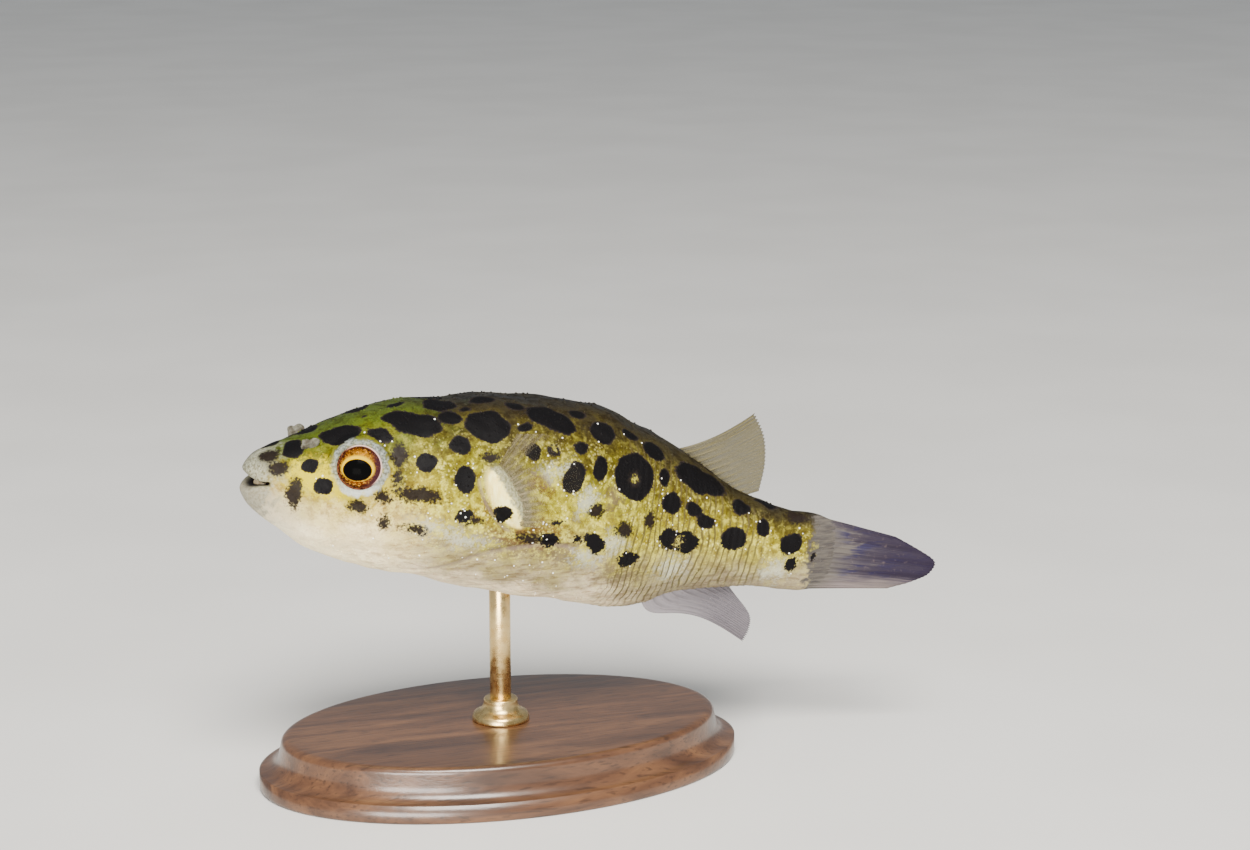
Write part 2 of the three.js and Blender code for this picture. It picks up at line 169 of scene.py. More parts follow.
# %% Mesh helpers
def grid_faces(rows, columns, first=0, flip=False):
    """Quads between neighbours of a grid that is closed round and whose points go row by row."""
    i, j = np.meshgrid(np.arange(rows - 1), np.arange(columns), indexing="ij")
    k = (j + 1) % columns
    corners = [i * columns + j, (i + 1) * columns + j, (i + 1) * columns + k, i * columns + k]
    quads = np.stack(corners[::-1] if flip else corners, -1).reshape(-1, 4)
    return (quads + first).tolist()


def cap_faces(ring, pole, flip=False):
    """Triangles from a closed ring of point numbers to one pole."""
    following = np.roll(ring, -1)
    pair = (following, ring) if flip else (ring, following)
    return np.stack([np.full(len(ring), pole), *pair], -1).tolist()


def closed_tube(grid, flip=False):
    """A grid closed round, with a pole in the middle of each end ring: its points and its faces."""
    rows, columns = grid.shape[:2]
    poles = np.array([grid[0].mean(0), grid[-1].mean(0)])
    ring, count = np.arange(columns), rows * columns
    faces = grid_faces(rows, columns, flip=flip)
    faces += cap_faces(ring, count, flip=flip)
    faces += cap_faces(ring + count - columns, count + 1, flip=not flip)
    return np.concatenate([grid.reshape(-1, 3), poles]), faces


# %% From arrays to a piece
def make_piece(name, points, faces, material, stands_for, values=None):
    """A smooth-shaded mesh from points in metres, with one named value per point for its material."""
    mesh = bpy.data.meshes.new(name)
    mesh.from_pydata(points.reshape(-1, 3).tolist(), [], faces)
    mesh.polygons.foreach_set("use_smooth", np.ones(len(mesh.polygons), bool))
    for key, value in (values or {}).items():
        layer = mesh.attributes.new(key, "FLOAT", "POINT")
        layer.data.foreach_set("value", np.asarray(value, np.float32).ravel())
    mesh.materials.append(material)
    mesh.update()
    piece = bpy.data.objects.new(name, mesh)
    bpy.context.collection.objects.link(piece)
    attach(piece, "root")
    if stands_for:
        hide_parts(*stands_for)
    print(name, "triangles:", sum(len(face) - 2 for face in faces))
    return piece


# %% [markdown]
# ## Small tools for materials
# A material is a chain of nodes. These helpers name the few kinds used here, so that each
# finish below reads as a recipe: noise, ramp, mix, and so on.

# %% Node helpers
def put(tree, value, socket):
    """Links a socket, or sets a plain number or a solid colour of three numbers."""
    if isinstance(value, bpy.types.NodeSocket):
        tree.links.new(value, socket)
    else:
        socket.default_value = (*value, 1) if socket.type == "RGBA" else value


def node(tree, kind, settings=None, inputs=None):
    """A new node with its settings and inputs; inputs go by name or by number."""
    made = tree.nodes.new(kind)
    for key, value in (settings or {}).items():
        setattr(made, key, value)
    for key, value in (inputs or {}).items():
        put(tree, value, made.inputs[key])
    return made


# %% Arithmetic, mixes and ramps
def sums(tree, operation, a, b=0.0, c=0.0, clamp=False):
    """One step of arithmetic on values."""
    settings = {"operation": operation, "use_clamp": clamp}
    return node(tree, "ShaderNodeMath", settings, {0: a, 1: b, 2: c}).outputs[0]


def times(tree, a, b):
    """The product of two values."""
    return sums(tree, "MULTIPLY", a, b)


def plus(tree, a, b):
    """The sum of two values."""
    return sums(tree, "ADD", a, b)


def mix(tree, share, a, b, blend="MIX"):
    """Colour a, turning to colour b as share goes from 0 to 1."""
    settings = {"data_type": "RGBA", "blend_type": blend}
    return node(tree, "ShaderNodeMix", settings, {0: share, 6: a, 7: b}).outputs[2]


def ramp(tree, value, stops):
    """A colour for each value: stops are (place, colour)."""
    made = node(tree, "ShaderNodeValToRGB", None, {0: value})
    elements = made.color_ramp.elements
    while len(elements) < len(stops):
        elements.new(0.5)
    for element, (place, colour) in zip(elements, stops):
        element.position = place
        element.color = (*colour, 1)
    return made.outputs[0]


def span(tree, value, low, high, to_low=0.0, to_high=1.0):
    """Carries a value from low..high to to_low..to_high, smoothly and clamped."""
    settings = {"interpolation_type": "SMOOTHSTEP"}
    inputs = {0: value, 1: low, 2: high, 3: to_low, 4: to_high}
    return node(tree, "ShaderNodeMapRange", settings, inputs).outputs[0]


# %% Noise, and values of the mesh
def noise(tree, place, size, detail=2.0, roughness=0.5, warp=0.0):
    """Cloudy noise whose lumps are about `size` millimetres."""
    inputs = {"Vector": place, "Scale": 1 / (size * MM), "Detail": detail, "Roughness": roughness}
    return node(tree, "ShaderNodeTexNoise", None, {**inputs, "Distortion": warp}).outputs["Fac"]


def stretched(tree, place, scale):
    """The same places, scaled along each axis: a pattern is longest where the scale is smallest."""
    return node(tree, "ShaderNodeMapping", None, {"Vector": place, "Scale": scale}).outputs[0]


def value_of(tree, name):
    """A value that the mesh holds at each point."""
    return node(tree, "ShaderNodeAttribute", {"attribute_name": name}).outputs["Fac"]


# %% Starting a material
def start_material(name, roughness, **constants):
    """A material, its tree, its shader with plain numbers on its sockets, and the object's places."""
    material = bpy.data.materials.new(name)
    material.use_nodes = True
    tree = material.node_tree
    shader = tree.nodes["Principled BSDF"]
    shader.inputs["Roughness"].default_value = roughness
    for key, value in constants.items():
        shader.inputs[key.replace("_", " ")].default_value = value
    place = node(tree, "ShaderNodeTexCoord").outputs["Object"]
    return material, tree, shader, place


def bump(tree, height, depth, shader):
    """Feeds a height, in units of `depth` millimetres, to the shader's normal."""
    inputs = {"Height": height, "Distance": depth * MM, "Strength": 1.0}
    tree.links.new(node(tree, "ShaderNodeBump", None, inputs).outputs[0], shader.inputs["Normal"])


# %% [markdown]
# ## The places of the marks
# The black spots are what one knows this fish by. Each is an ellipse on the skin: how far along
# the fish, how far down its side from the middle of the back, half its length, half its height
# and its tilt. Negative distances down are on the other side. They are listed spot by spot, for
# the left side; a seeded shuffle of the same list then marks the right side.

# %% Black spots of the left side, in millimetres and degrees
SPOTS = {
    "before the nostril": (4.9, 2.2, 1.2, 1.5, 0),
    "before the nostril, low": (4.6, 2.8, 1.0, 1.1, -30),
    "snout, upper": (6.5, 5.8, 0.9, 0.9, 0),
    "snout, lower": (8.0, 9.0, 1.0, 0.95, 0),
    "brow": (9.7, 3.5, 2.4, 1.5, 8),
    "behind the brow": (13.6, 6.0, 1.6, 0.85, 30),
    "crown, upper": (16.4, 4.2, 2.4, 1.4, 10),
    "crown, lower": (17.8, 5.8, 2.8, 1.8, 12),
    "crown, speck": (12.7, 2.3, 0.45, 0.25, 0),
    "crown, over the top": (12.5, -1.5, 1.6, 1.7, 0),
    "nostril, over the top": (7.0, -1.0, 1.4, 1.5, 0),
    "lip, over the top": (3.0, -0.5, 1.0, 0.8, 0),
    "crown, middle": (16.3, 0.8, 1.1, 0.7, 0),
    "nape, top": (21.0, 2.0, 2.0, 1.7, 0),
    "nape, side": (21.7, 5.1, 1.35, 1.2, 0),
    "nape, small": (23.5, 4.0, 0.7, 0.5, 0),
    "cheek": (18.8, 10.7, 1.2, 1.1, 0),
    "gill cover, upper": (22.5, 9.0, 1.35, 1.1, 5),
    "gill cover, lower": (23.1, 13.1, 1.25, 1.6, 0),
    "gill cover, low": (23.6, 17.2, 1.1, 0.65, -10),
    "shoulder": (25.8, 6.9, 2.7, 2.2, 12),
    "shoulder, top": (26.0, 2.5, 1.6, 1.0, 0),
    "back, top": (29.5, 3.6, 1.2, 1.0, 0),
    "back, small": (30.3, 7.0, 0.9, 0.7, -30),
    "back, saddle": (33.7, 5.5, 3.2, 1.9, 24),
    "back, behind the saddle": (37.3, 4.0, 1.1, 0.8, 0),
    "back, third": (40.0, 6.3, 1.65, 1.6, 0),
    "behind the fin": (31.0, 10.2, 1.0, 1.1, 0),
    "behind the fin, pale": (33.5, 9.6, 0.9, 0.8, 0),
    "side, high": (37.0, 9.0, 1.1, 0.9, 0),
    "behind the fin, upright": (36.1, 12.7, 1.4, 1.85, 10),
    "side, tall": (39.5, 11.1, 1.0, 1.55, 0),
    "side, great round": (44.5, 10.1, 3.0, 2.8, 0),
    "above the great round": (44.0, 5.0, 1.3, 0.8, 0),
    "rump": (47.3, 5.0, 1.8, 1.2, 5),
    "rump, small": (49.0, 7.4, 0.95, 1.15, 0),
    "rump, round": (50.2, 9.7, 1.5, 1.3, 0),
    "low flank, twin front": (50.7, 13.6, 1.8, 1.25, 0),
    "low flank, twin rear": (53.4, 12.4, 1.8, 1.35, 0),
    "low flank, slant": (40.0, 19.5, 1.7, 1.0, 28),
    "low flank, dot": (38.0, 19.6, 0.45, 0.45, 0),
    "low flank, rear": (45.4, 19.3, 1.5, 0.9, 5),
    "low flank, front": (34.1, 20.3, 1.4, 0.8, 15),
    "fin lobe": (28.0, 17.5, 0.9, 1.0, 0),
    "streak behind the lobe": (34.6, 17.9, 0.8, 0.3, -5),
    "tail, band": (54.2, 4.2, 4.1, 1.75, 3),
    "tail, under the band": (53.6, 8.2, 1.4, 0.8, 10),
    "tail, under the band, rear": (55.5, 8.5, 1.4, 0.9, 10),
    "tail, over the round": (60.0, 3.3, 1.4, 1.1, 0),
    "tail, round": (59.7, 7.5, 1.75, 1.35, 0),
    "tail, small": (63.3, 4.4, 1.1, 1.0, 0),
    "tail, last": (67.2, 4.7, 1.75, 1.35, -15),
    "tail, last, foot": (67.6, 7.1, 0.9, 0.75, 30),
    "tail, dot": (70.4, 5.2, 0.45, 0.45, 0),
    "tail, on the top": (63.5, 0.8, 1.5, 0.8, 0),
}

# %% Soft brown smudges: worn or half-hidden spots, and spots broken up by pale grains
SMUDGES = {
    "upper lip": (2.3, 2.0, 1.1, 1.05, 0),
    "upper lip, low": (3.2, 4.2, 1.1, 0.75, 0),
    "mouth corner": (5.1, 8.2, 0.8, 1.65, 0),
    "behind the eye": (15.7, 9.4, 0.85, 1.35, 0),
    "behind the eye, low": (15.7, 11.7, 0.5, 0.7, 0),
    "below the eye": (12.0, 13.7, 1.0, 0.7, 0),
    "cheek streak, start": (14.4, 13.5, 1.0, 0.6, 15),
    "cheek streak": (18.4, 14.3, 2.6, 0.85, 0),
    "jaw": (15.0, 16.8, 0.6, 0.8, 0),
    "jaw, rear": (18.5, 18.4, 1.3, 0.5, 0),
    "gill cover foot": (25.0, 18.3, 0.8, 0.4, -10),
    "gill cover rear": (26.0, 11.0, 0.9, 0.6, 0),
    "before the low spot": (31.5, 20.2, 1.6, 0.5, 0),
    "side, broken": (39.6, 16.0, 0.95, 0.8, 0),
    "side, broken, rear": (43.7, 16.7, 1.2, 0.9, 0),
    "side, brown": (47.3, 13.5, 0.8, 1.0, 0),
    "tail, top": (67.5, 1.2, 1.3, 0.7, 0),
    "tail, brown top": (54.5, 0.4, 3.0, 0.8, 0),
}

# %% Pale breaks inside three of the black spots
BREAKS = [(44.5, 10.4, 0.32, 0.38, 0), (52.0, 13.1, 0.42, 0.5, 20), (33.6, 9.5, 0.34, 0.34, 0)]

# %% Patches without an outline: pearly white, golden, rust brown and dusky
PEARL = [
    (33.2, 12.6, 1.5, 0.6, -25), (38.3, 15.2, 1.2, 1.3, 0), (39.5, 21.6, 1.6, 0.9, 0),
    (65.8, 8.7, 1.5, 1.3, 0), (20.8, 18.6, 1.5, 0.6, 0), (43.0, 18.5, 1.2, 0.8, 0),
    (52.0, 16.5, 1.8, 1.2, 0), (24.5, 20.5, 1.6, 0.6, 0),
]
GOLD = [(7.0, 7.5, 2.2, 1.9, 0), (5.2, 5.6, 1.6, 1.0, 0), (10.0, 10.8, 2.2, 0.9, 30)]
RUST = [
    (32.8, 18.8, 1.6, 0.6, 0), (31.5, 20.3, 3.0, 0.8, 0),
    (31.8, 14.0, 1.6, 1.0, 0), (26.2, 16.6, 0.7, 1.6, 40),
]
DUSK = [
    (37.0, 21.7, 3.4, 0.9, 14), (30.0, 21.3, 2.6, 0.8, 4),
    (45.5, 21.6, 2.2, 0.8, 0), (42.0, 13.5, 1.0, 1.6, 0),
]
NEAR_MIDLINE = 1.9
print("spots and smudges written by hand:", len(SPOTS) + len(SMUDGES))

# %% [markdown]
# The right side is not a mirror: each spot above is carried over, pushed a little, resized and
# turned by a seeded draw, as the two sides of one fish differ.

# %% The right side's marks
def both_sides(marks, seed):
    """The marks as an array, then shuffled copies on the other side of those clear of the midline."""
    left = np.array(list(marks.values()) if isinstance(marks, dict) else marks, float)
    copied = left[left[:, 1] > NEAR_MIDLINE]
    draw = np.random.default_rng(seed)
    right = copied.copy()
    right[:, 0] += draw.uniform(-0.9, 0.9, len(copied))
    right[:, 1] = -copied[:, 1] + draw.uniform(-0.7, 0.7, len(copied))
    right[:, 2:4] *= draw.uniform(0.85, 1.15, (len(copied), 2))
    right[:, 4] += draw.uniform(-15, 15, len(copied))
    return np.concatenate([left, right])


print("black spots on both sides:", len(both_sides(SPOTS, 31)))

# %% [markdown]
# ## The skin
# One surface covers lips, head, trunk, belly and tail stalk without a seam. Each cross-section is
# a rounded rectangle-like oval, a superellipse. Rows of points are closer at the head, and
# columns closer where the mouth and the eyes are, so that detail costs no points elsewhere.

# %% The plain body surface
def body_section(s, angle):
    """The oval of the body at s: angle 0 is the back, a quarter turn the right side, half the belly."""
    nose = rounding(s, SNOUT_ROUND)
    edge = rounding(FLESH_END - s, TAIL_ROUND) * (1 - 0.55 * smooth_step(s, 65, 72.5))
    close = 1 - 0.1 * smooth_step(s, 69, 73)
    level = profile(WIDEST_LEVEL, s) * nose
    sine, cosine = np.sin(angle), np.cos(angle)
    above = cosine > 0
    reach = np.where(above, profile(BACK, s) * nose - level, profile(BELLY, s) * nose + level) * close
    power = np.where(above, 2 / SQUARENESS_ABOVE, 2 / SQUARENESS_BELOW)
    y = profile(HALF_WIDTH, s) * nose * edge * np.sign(sine) * np.abs(sine) ** power
    return y, level + reach * np.sign(cosine) * np.abs(cosine) ** power


def skin_rows():
    """Even steps over the round snout tip, then steps that widen towards the tail."""
    ring = np.linspace(0, 0.9, 30)[1:]
    tip = SNOUT_ROUND * (1 - (1 - ring**ROUND_POWER) ** (1 / ROUND_POWER))
    stretches = [(tip[-1], 5, 0.1), (5, 20, 0.155), (20, 38, 0.2), (38, 70, 0.26), (70, 72.9, 0.2)]
    runs = [np.arange(low + step, high, step) for low, high, step in stretches]
    return np.concatenate([tip, *runs, [72.9, 72.985]])


def skin_columns(count=124):
    """Angles round the body, closer about the mouth's level and where the eyes are."""
    angle = np.linspace(0, np.pi, 2001)
    degrees = np.degrees(angle)
    density = 1 + 0.7 * between(degrees, 35, 105, 12) + 1.6 * between(degrees, 84, 96, 7)
    share = np.concatenate([[0], np.cumsum((density[1:] + density[:-1]) / 2)])
    half = np.interp(np.arange(count) / count, share / share[-1], angle)
    return np.concatenate([half, 2 * np.pi - np.concatenate([[np.pi], half[:0:-1]])])


ROWS = skin_rows()
COLUMNS = skin_columns()
S, ANGLE = np.meshgrid(ROWS, COLUMNS, indexing="ij")
Y, Z = body_section(S, ANGLE)
print("skin grid:", S.shape)

# %% [markdown]
# Marks and colours need to know where they are on the skin: `DOWN` is the distance in millimetres
# from the middle of the back, measured over the surface, positive on the left. `GIRTH` is the
# same as a share, 0 on the back and 1 under the belly.

# %% How far down the side each point is
def over_the_surface(y, z):
    """Arc length from the back, down the right side and down the left."""
    step = np.hypot(np.diff(y, axis=1, append=y[:, :1]), np.diff(z, axis=1, append=z[:, :1]))
    arc = np.cumsum(step, axis=1) - step
    total = arc[:, -1:] + step[:, -1:]
    left = total - arc
    return np.where(arc < left, -arc, left), np.minimum(arc, left) / (total / 2)


DOWN, GIRTH = over_the_surface(Y, Z)
print("longest way round half the body, mm:", round(float(DOWN.max()), 1))

# %% [markdown]
# A mark is drawn in the plane that touches the skin at its middle, so a round spot stays round
# even where the head narrows like a cone. The value kept is how many millimetres a point lies
# inside the mark's edge: the material can then soften, widen or roughen that edge.

# %% Marks laid on the surface
PLAIN = np.stack([S, Y, Z], -1)


def normals_of(points):
    """Unit vectors out of a grid whose rows run along the fish and whose columns run round it."""
    along = np.gradient(points, axis=0)
    round_body = np.roll(points, -1, 1) - np.roll(points, 1, 1)
    normal = np.cross(along, round_body)
    return normal / (np.linalg.norm(normal, axis=-1, keepdims=True) + 1e-12)


PLAIN_NORMAL = normals_of(PLAIN)


def wavered(amount, wavelength, seed):
    """The plain surface with each point pushed about smoothly, so that edges drawn on it waver."""
    push = [unevenness(PLAIN, wavelength, seed + k) for k in range(3)]
    return PLAIN + amount * np.stack(push, -1)


MARK_DEPTH = 1.6
FAR_OUTSIDE = -3.0


def inside_marks(marks, surface, join=0.12):
    """Millimetres inside the nearest mark's edge, negative outside; touching marks join softly."""
    total = np.zeros(S.shape)
    for at, low, half_length, half_height, tilt in marks:
        middle = np.unravel_index(np.argmin((S - at) ** 2 + (DOWN - low) ** 2), S.shape)
        normal = PLAIN_NORMAL[middle]
        forward = np.array([1.0, 0, 0]) - normal * normal[0]
        forward /= np.linalg.norm(forward)
        downward = np.cross(forward, normal) * (-1 if low < -NEAR_MIDLINE else 1)
        offset = surface - PLAIN[middle]
        ds, dd, off_plane = offset @ forward, offset @ downward, np.abs(offset @ normal)
        turn = math.radians(tilt)
        u = (ds * math.cos(turn) + dd * math.sin(turn)) / half_length
        v = (dd * math.cos(turn) - ds * math.sin(turn)) / half_height
        depth = (1 - np.sqrt(u * u + v * v)) * min(half_length, half_height)
        depth = depth - np.maximum(off_plane - MARK_DEPTH, 0)
        total += np.exp(np.clip(depth / join, -40, 40))
    return np.maximum(join * np.log(total + 1e-18), FAR_OUTSIDE)


# %% [markdown]
# ### Lips, mouth and the soft body's folds
# A slit can't be cut into a grid without ragged edges. Instead the columns next to the mouth's
# level are moved: the middle ones line the pocket, the next ones climb its wall, the next ones
# roll round the lip, and the last ones stay where they were.

# %% The mouth
MOUTH_LEVEL = -0.05
MOUTH_RISE = 0.2
MOUTH_CORNER = 2.4
GAPE = 1.12
GAPE_DEPTH = 2.25
SLIT = 0.22
LIP_ROLL = 0.4
POCKET = 2.3
POCKET_AIM = 3.8
POCKET_SHARE = 0.08
WALL_SHARE = 0.3
ROLL_SHARE = 0.84


def gape_at(s):
    """Half the opening: a wedge that narrows from the lips to a slit."""
    return SLIT + GAPE * np.clip(1 - s / GAPE_DEPTH, 0, 1) ** 2.0


def open_mouth(s, y, z):
    """Re-lays the strip beside the mouth's level over pocket, wall and rolled lip; also the depth."""
    share = smooth_step(s, MOUTH_CORNER + 0.35, MOUTH_CORNER - 0.4)
    strip = gape_at(s) + LIP_ROLL + 0.35
    level = MOUTH_LEVEL + MOUTH_RISE * s
    t = np.clip(np.abs(z - level) / strip, 0, 1)
    on_wall = np.clip((t - POCKET_SHARE) / (WALL_SHARE - POCKET_SHARE), 0, 1)
    roll = np.clip((t - WALL_SHARE) / (ROLL_SHARE - WALL_SHARE), 0, 1) * np.pi / 2
    wall = POCKET - (POCKET - LIP_ROLL) * on_wall
    depth = np.where(t < WALL_SHARE, wall, LIP_ROLL * (1 - np.sin(roll)))
    rest = (strip - gape_at(s) - LIP_ROLL) * np.clip((t - ROLL_SHARE) / (1 - ROLL_SHARE), 0, 1)
    rise = LIP_ROLL * (1 - np.cos(roll)) + rest
    away = np.hypot(POCKET_AIM - s, y) + 1e-6
    depth = np.minimum(depth, 0.8 * away) * share
    new_s = s + depth * (POCKET_AIM - s) / away
    new_y = y - depth * y / away
    height = gape_at(new_s) * np.clip(t / POCKET_SHARE, 0, 1) + rise
    new_z = level + np.sign(z - level) * height
    moved = share * (t < 1)
    return new_s, new_y, z + (new_z - z) * moved, depth


print("widest opening, mm:", round(2 * float(gape_at(0.0)), 2))


# %% [markdown]
# ### Eye rims, fin lobes and creases
# The skin rises to a soft rim round each eye and dips under the eyeball. Behind the gill slit it
# swells into the fleshy lobe that carries the pectoral fin. Fine upright folds run over the tail
# stalk, where the skin is bent, and a long crease parts the throat from the flank.

# %% Eye rims
EYE_CENTRE = (12.3, 4.85, 3.55)
EYE_AXIS = (-0.33, 0.9, 0.28)
IRIS_RADIUS = 2.6
RIM_LEVEL = 2.42
RIM_RIDGE = 2.9
RIM_REACH = 4.2
SOCKET_DIP = 1.5


def eye_frame(side):
    """The eye on that side: its centre, outward axis, and axes towards the back and the tail."""
    flip = np.array([1, side, 1.0])
    centre = np.array(EYE_CENTRE) * flip
    axis = np.array(EYE_AXIS) * flip
    axis /= np.linalg.norm(axis)
    up = np.array([0, 0, 1.0]) - axis * axis[2]
    up /= np.linalg.norm(up)
    tailward = np.cross(up, axis)
    return centre, axis, up, tailward * np.sign(tailward[0])


def eye_rims(points):
    """Moves the skin along the eye's axis: a level rim round the iris, a dip under the eyeball."""
    ring = np.zeros(points.shape[:-1])
    for side in (-1, 1):
        centre, axis = eye_frame(side)[:2]
        offset = points - centre
        along = offset @ axis
        rho = np.linalg.norm(offset - along[..., None] * axis, axis=-1)
        near = (along > 0) & (rho < RIM_REACH)
        level = RIM_LEVEL + 0.06 * np.exp(-(((rho - RIM_RIDGE) / 0.3) ** 2))
        rim = level + (along - level) * smooth_step(rho, 2.85, 4.1)
        dip = rim - SOCKET_DIP * smooth_step(rho, IRIS_RADIUS + 0.05, IRIS_RADIUS - 0.75)
        points = points + np.where(near, dip - along, 0)[..., None] * axis
        ring = np.maximum(ring, np.where(near, smooth_step(rho, 3.8, RIM_RIDGE), 0))
    return points, ring


# %% Fin lobes and gill slit
LOBE_CENTRE = (28.4, 9.6, 3.3)
LOBE_HALF = (2.2, 1.8, 4.2)
LOBE_LEAN = 0.68
GILL_SLIT_DEPTH = 0.55


def lobe_share(s, z):
    """Elliptical distance from the middle of the fin lobe, 1 at its edge, and the place across it."""
    ds, dz = s - LOBE_CENTRE[0], z - LOBE_CENTRE[2]
    across = ds * math.cos(LOBE_LEAN) + dz * math.sin(LOBE_LEAN)
    lengthwise = dz * math.cos(LOBE_LEAN) - ds * math.sin(LOBE_LEAN)
    return np.hypot(across / LOBE_HALF[0], lengthwise / LOBE_HALF[2]), across, lengthwise


def fin_lobes(s, y, z):
    """Lifts the skin to an ellipsoid, the gill slit before it; new y, slit, lobe and rear edge."""
    u, across, lengthwise = lobe_share(s, z)
    dome = LOBE_CENTRE[1] + LOBE_HALF[1] * np.sqrt(np.clip(1 - u * u, 0, 1)) - 0.06 * np.abs(z - 3)
    lift = np.where(u < 1, np.maximum(dome - np.abs(y), 0), 0)
    lift = lift * (1 - 0.6 * smooth_step(across, 0, 2.2))
    slit = np.exp(-(((u - 1.18) / 0.1) ** 2)) * (across < 0)
    slit = slit * smooth_step(np.abs(lengthwise), 4.2, 3.0)
    on_side = (np.abs(y) > 5) * 1.0
    lobe = smooth_step(u, 1.04, 0.86) * on_side
    rear = smooth_step(across, -0.7, 0.5)
    return y + np.sign(y) * (lift - GILL_SLIT_DEPTH * slit) * on_side, slit * on_side, lobe, rear


# %% Tail folds and the throat's crease
FOLD_SPACING = 0.85
FOLD_HEIGHT = 0.13
CREASE_ALONG = [18, 27, 34, 42]
CREASE_DOWN = [26.8, 22.4, 20.6, 21.2]
CREASE_HALF_WIDTH = 0.45
CREASE_DEPTH = 0.32


def folds(s, y, z):
    """Outward millimetres of tail folds, throat crease and lumps; then where folds and crease lie."""
    points = np.stack([s, y, z], -1)
    waver = 0.55 * unevenness(points * np.array([0.4, 1, 1]), 7, 11)
    ridge = np.abs(np.sin(np.pi * (s + waver) / FOLD_SPACING))
    tail = between(s, 45.5, 62, 4) * between(GIRTH, 0.24, 0.95, 0.12)
    from_crease = np.abs(DOWN) - np.interp(s, CREASE_ALONG, CREASE_DOWN)
    crease = np.exp(-((from_crease / CREASE_HALF_WIDTH) ** 2)) * between(s, 20, 36, 4)
    lumps = 0.1 * unevenness(points, 6, 5) + 0.035 * unevenness(points, 1.7, 6)
    outward = FOLD_HEIGHT * (ridge - 0.6) * tail - CREASE_DEPTH * crease + lumps * smooth_step(s, 1, 5)
    return outward, tail, crease


# %% [markdown]
# Putting the steps together: folds push points out from the body's middle line, then the mouth
# opens, the eye rims form and the lobes swell. The values kept on the way are the masks that
# the skin's material reads.

# %% The finished skin surface
OUTWARD, FOLD, CREASE = folds(S, Y, Z)
FROM_MIDDLE = np.hypot(Y, Z) + 1e-6
FOLDED_Y, FOLDED_Z = Y + OUTWARD * Y / FROM_MIDDLE, Z + OUTWARD * Z / FROM_MIDDLE
LOBED, GILL_SLIT, LOBE, LOBE_RIM = fin_lobes(S, FOLDED_Y, FOLDED_Z)
NEW_S, NEW_Y, NEW_Z, MOUTH_DEPTH = open_mouth(S, LOBED, FOLDED_Z)
SKIN, RING = eye_rims(np.stack([NEW_S, NEW_Y, NEW_Z], -1))
FIRM, LOOSE = wavered(0.13, 2.0, 21), wavered(0.35, 2.6, 24)
SKIN_VALUES = {
    "along": S,
    "girth": GIRTH,
    "spot": np.minimum(inside_marks(both_sides(SPOTS, 31), FIRM), -0.3 * inside_marks(BREAKS, FIRM)),
    "smudge": inside_marks(both_sides(SMUDGES, 32), FIRM),
    "pearl": inside_marks(both_sides(PEARL, 33), LOOSE, 0.3),
    "gold": inside_marks(both_sides(GOLD, 34), LOOSE, 0.3),
    "rust": inside_marks(both_sides(RUST, 35), LOOSE, 0.3),
    "dusk": inside_marks(both_sides(DUSK, 36), LOOSE, 0.3),
    # mouth marks the deep pocket, where painted shade darkens the lining.
    "mouth": smooth_step(MOUTH_DEPTH, 0.5, 1.3),
    "ring": RING,
    "lobe": LOBE,
    "lobe_rim": LOBE_RIM,
    "flap": np.zeros(S.shape),
    # crease and fold mark where painted shade darkens the throat crease, the gill slit and the tail's
    # folds.
    "crease": np.maximum(CREASE, GILL_SLIT * 1.4),
    "fold": FOLD,
    # tip is where papillae carry a painted highlight; it is 0 on the skin.
    "tip": np.zeros(S.shape),
}
print("share of the skin under black spots:", round(float((SKIN_VALUES["spot"] > 0).mean()), 2))

# %% [markdown]
# ### Nostril flaps
# Each nostril of this fish is a short two-lobed flap of skin. Two small flattened domes, rooted
# in the skin and part of the same mesh, give that shape.

# %% Nostril flaps
NOSTRIL_AT = (6.4, 3.3, 5.45)
NOSTRIL_LEAN = 0.5
NOSTRIL_HALF = (0.72, 0.3, 0.95)


def flap(side, shift, size, rows=14, columns=24):
    """A flattened, uneven ellipsoid, turned a little and leaned outwards, as rings of points."""
    polar = np.linspace(0, np.pi, rows)[:, None]
    turn = np.linspace(0, 2 * np.pi, columns, endpoint=False)
    rough = 1 + 0.1 * np.sin(3 * turn + 2.3 * polar + shift) * np.sin(polar)
    rough = rough + 0.06 * np.sin(4 * polar + 2 * turn)
    a, b, c = (half * rough for half in np.array(NOSTRIL_HALF) * (size, 1, size))
    x = a * np.sin(polar) * np.cos(turn)
    y = b * np.sin(polar) * np.sin(turn)
    z = c * np.cos(polar) + 0 * turn
    spin = shift * 0.35
    x, z = x * math.cos(spin) + z * math.sin(spin), z * math.cos(spin) - x * math.sin(spin)
    x, z = x + shift * NOSTRIL_HALF[0] * 0.45, z + shift * 0.1
    lean = -side * NOSTRIL_LEAN
    y, z = y * math.cos(lean) - z * math.sin(lean), y * math.sin(lean) + z * math.cos(lean)
    return np.stack([x + NOSTRIL_AT[0], y + side * NOSTRIL_AT[1], z + NOSTRIL_AT[2]], -1)


# %% Skin and flaps in one mesh
def join_skin():
    """The skin grid with both ends closed, and the flaps after it, as points, faces and values."""
    tube, faces = closed_tube(SKIN)
    points = [tube]
    values = {key: [value.ravel(), value[[0, -1], 0]] for key, value in SKIN_VALUES.items()}
    for side in (-1, 1):
        for shift, size in ((-1, 0.85), (1, 1.0)):
            flap_points = flap(side, shift, size)
            first = sum(len(part) for part in points)
            faces += grid_faces(*flap_points.shape[:2], first=first, flip=True)
            points.append(flap_points.reshape(-1, 3))
            count = len(points[-1])
            plain = {"along": 6.4, "girth": 0.2, "flap": 1}
            plain.update({mark: FAR_OUTSIDE for mark in ("spot", "smudge", *PATCH_TINTS)})
            for key, parts in values.items():
                parts.append(np.full(count, plain.get(key, 0.0)))
    joined = {key: np.concatenate(parts) for key, parts in values.items()}
    return np.concatenate(points), faces, joined


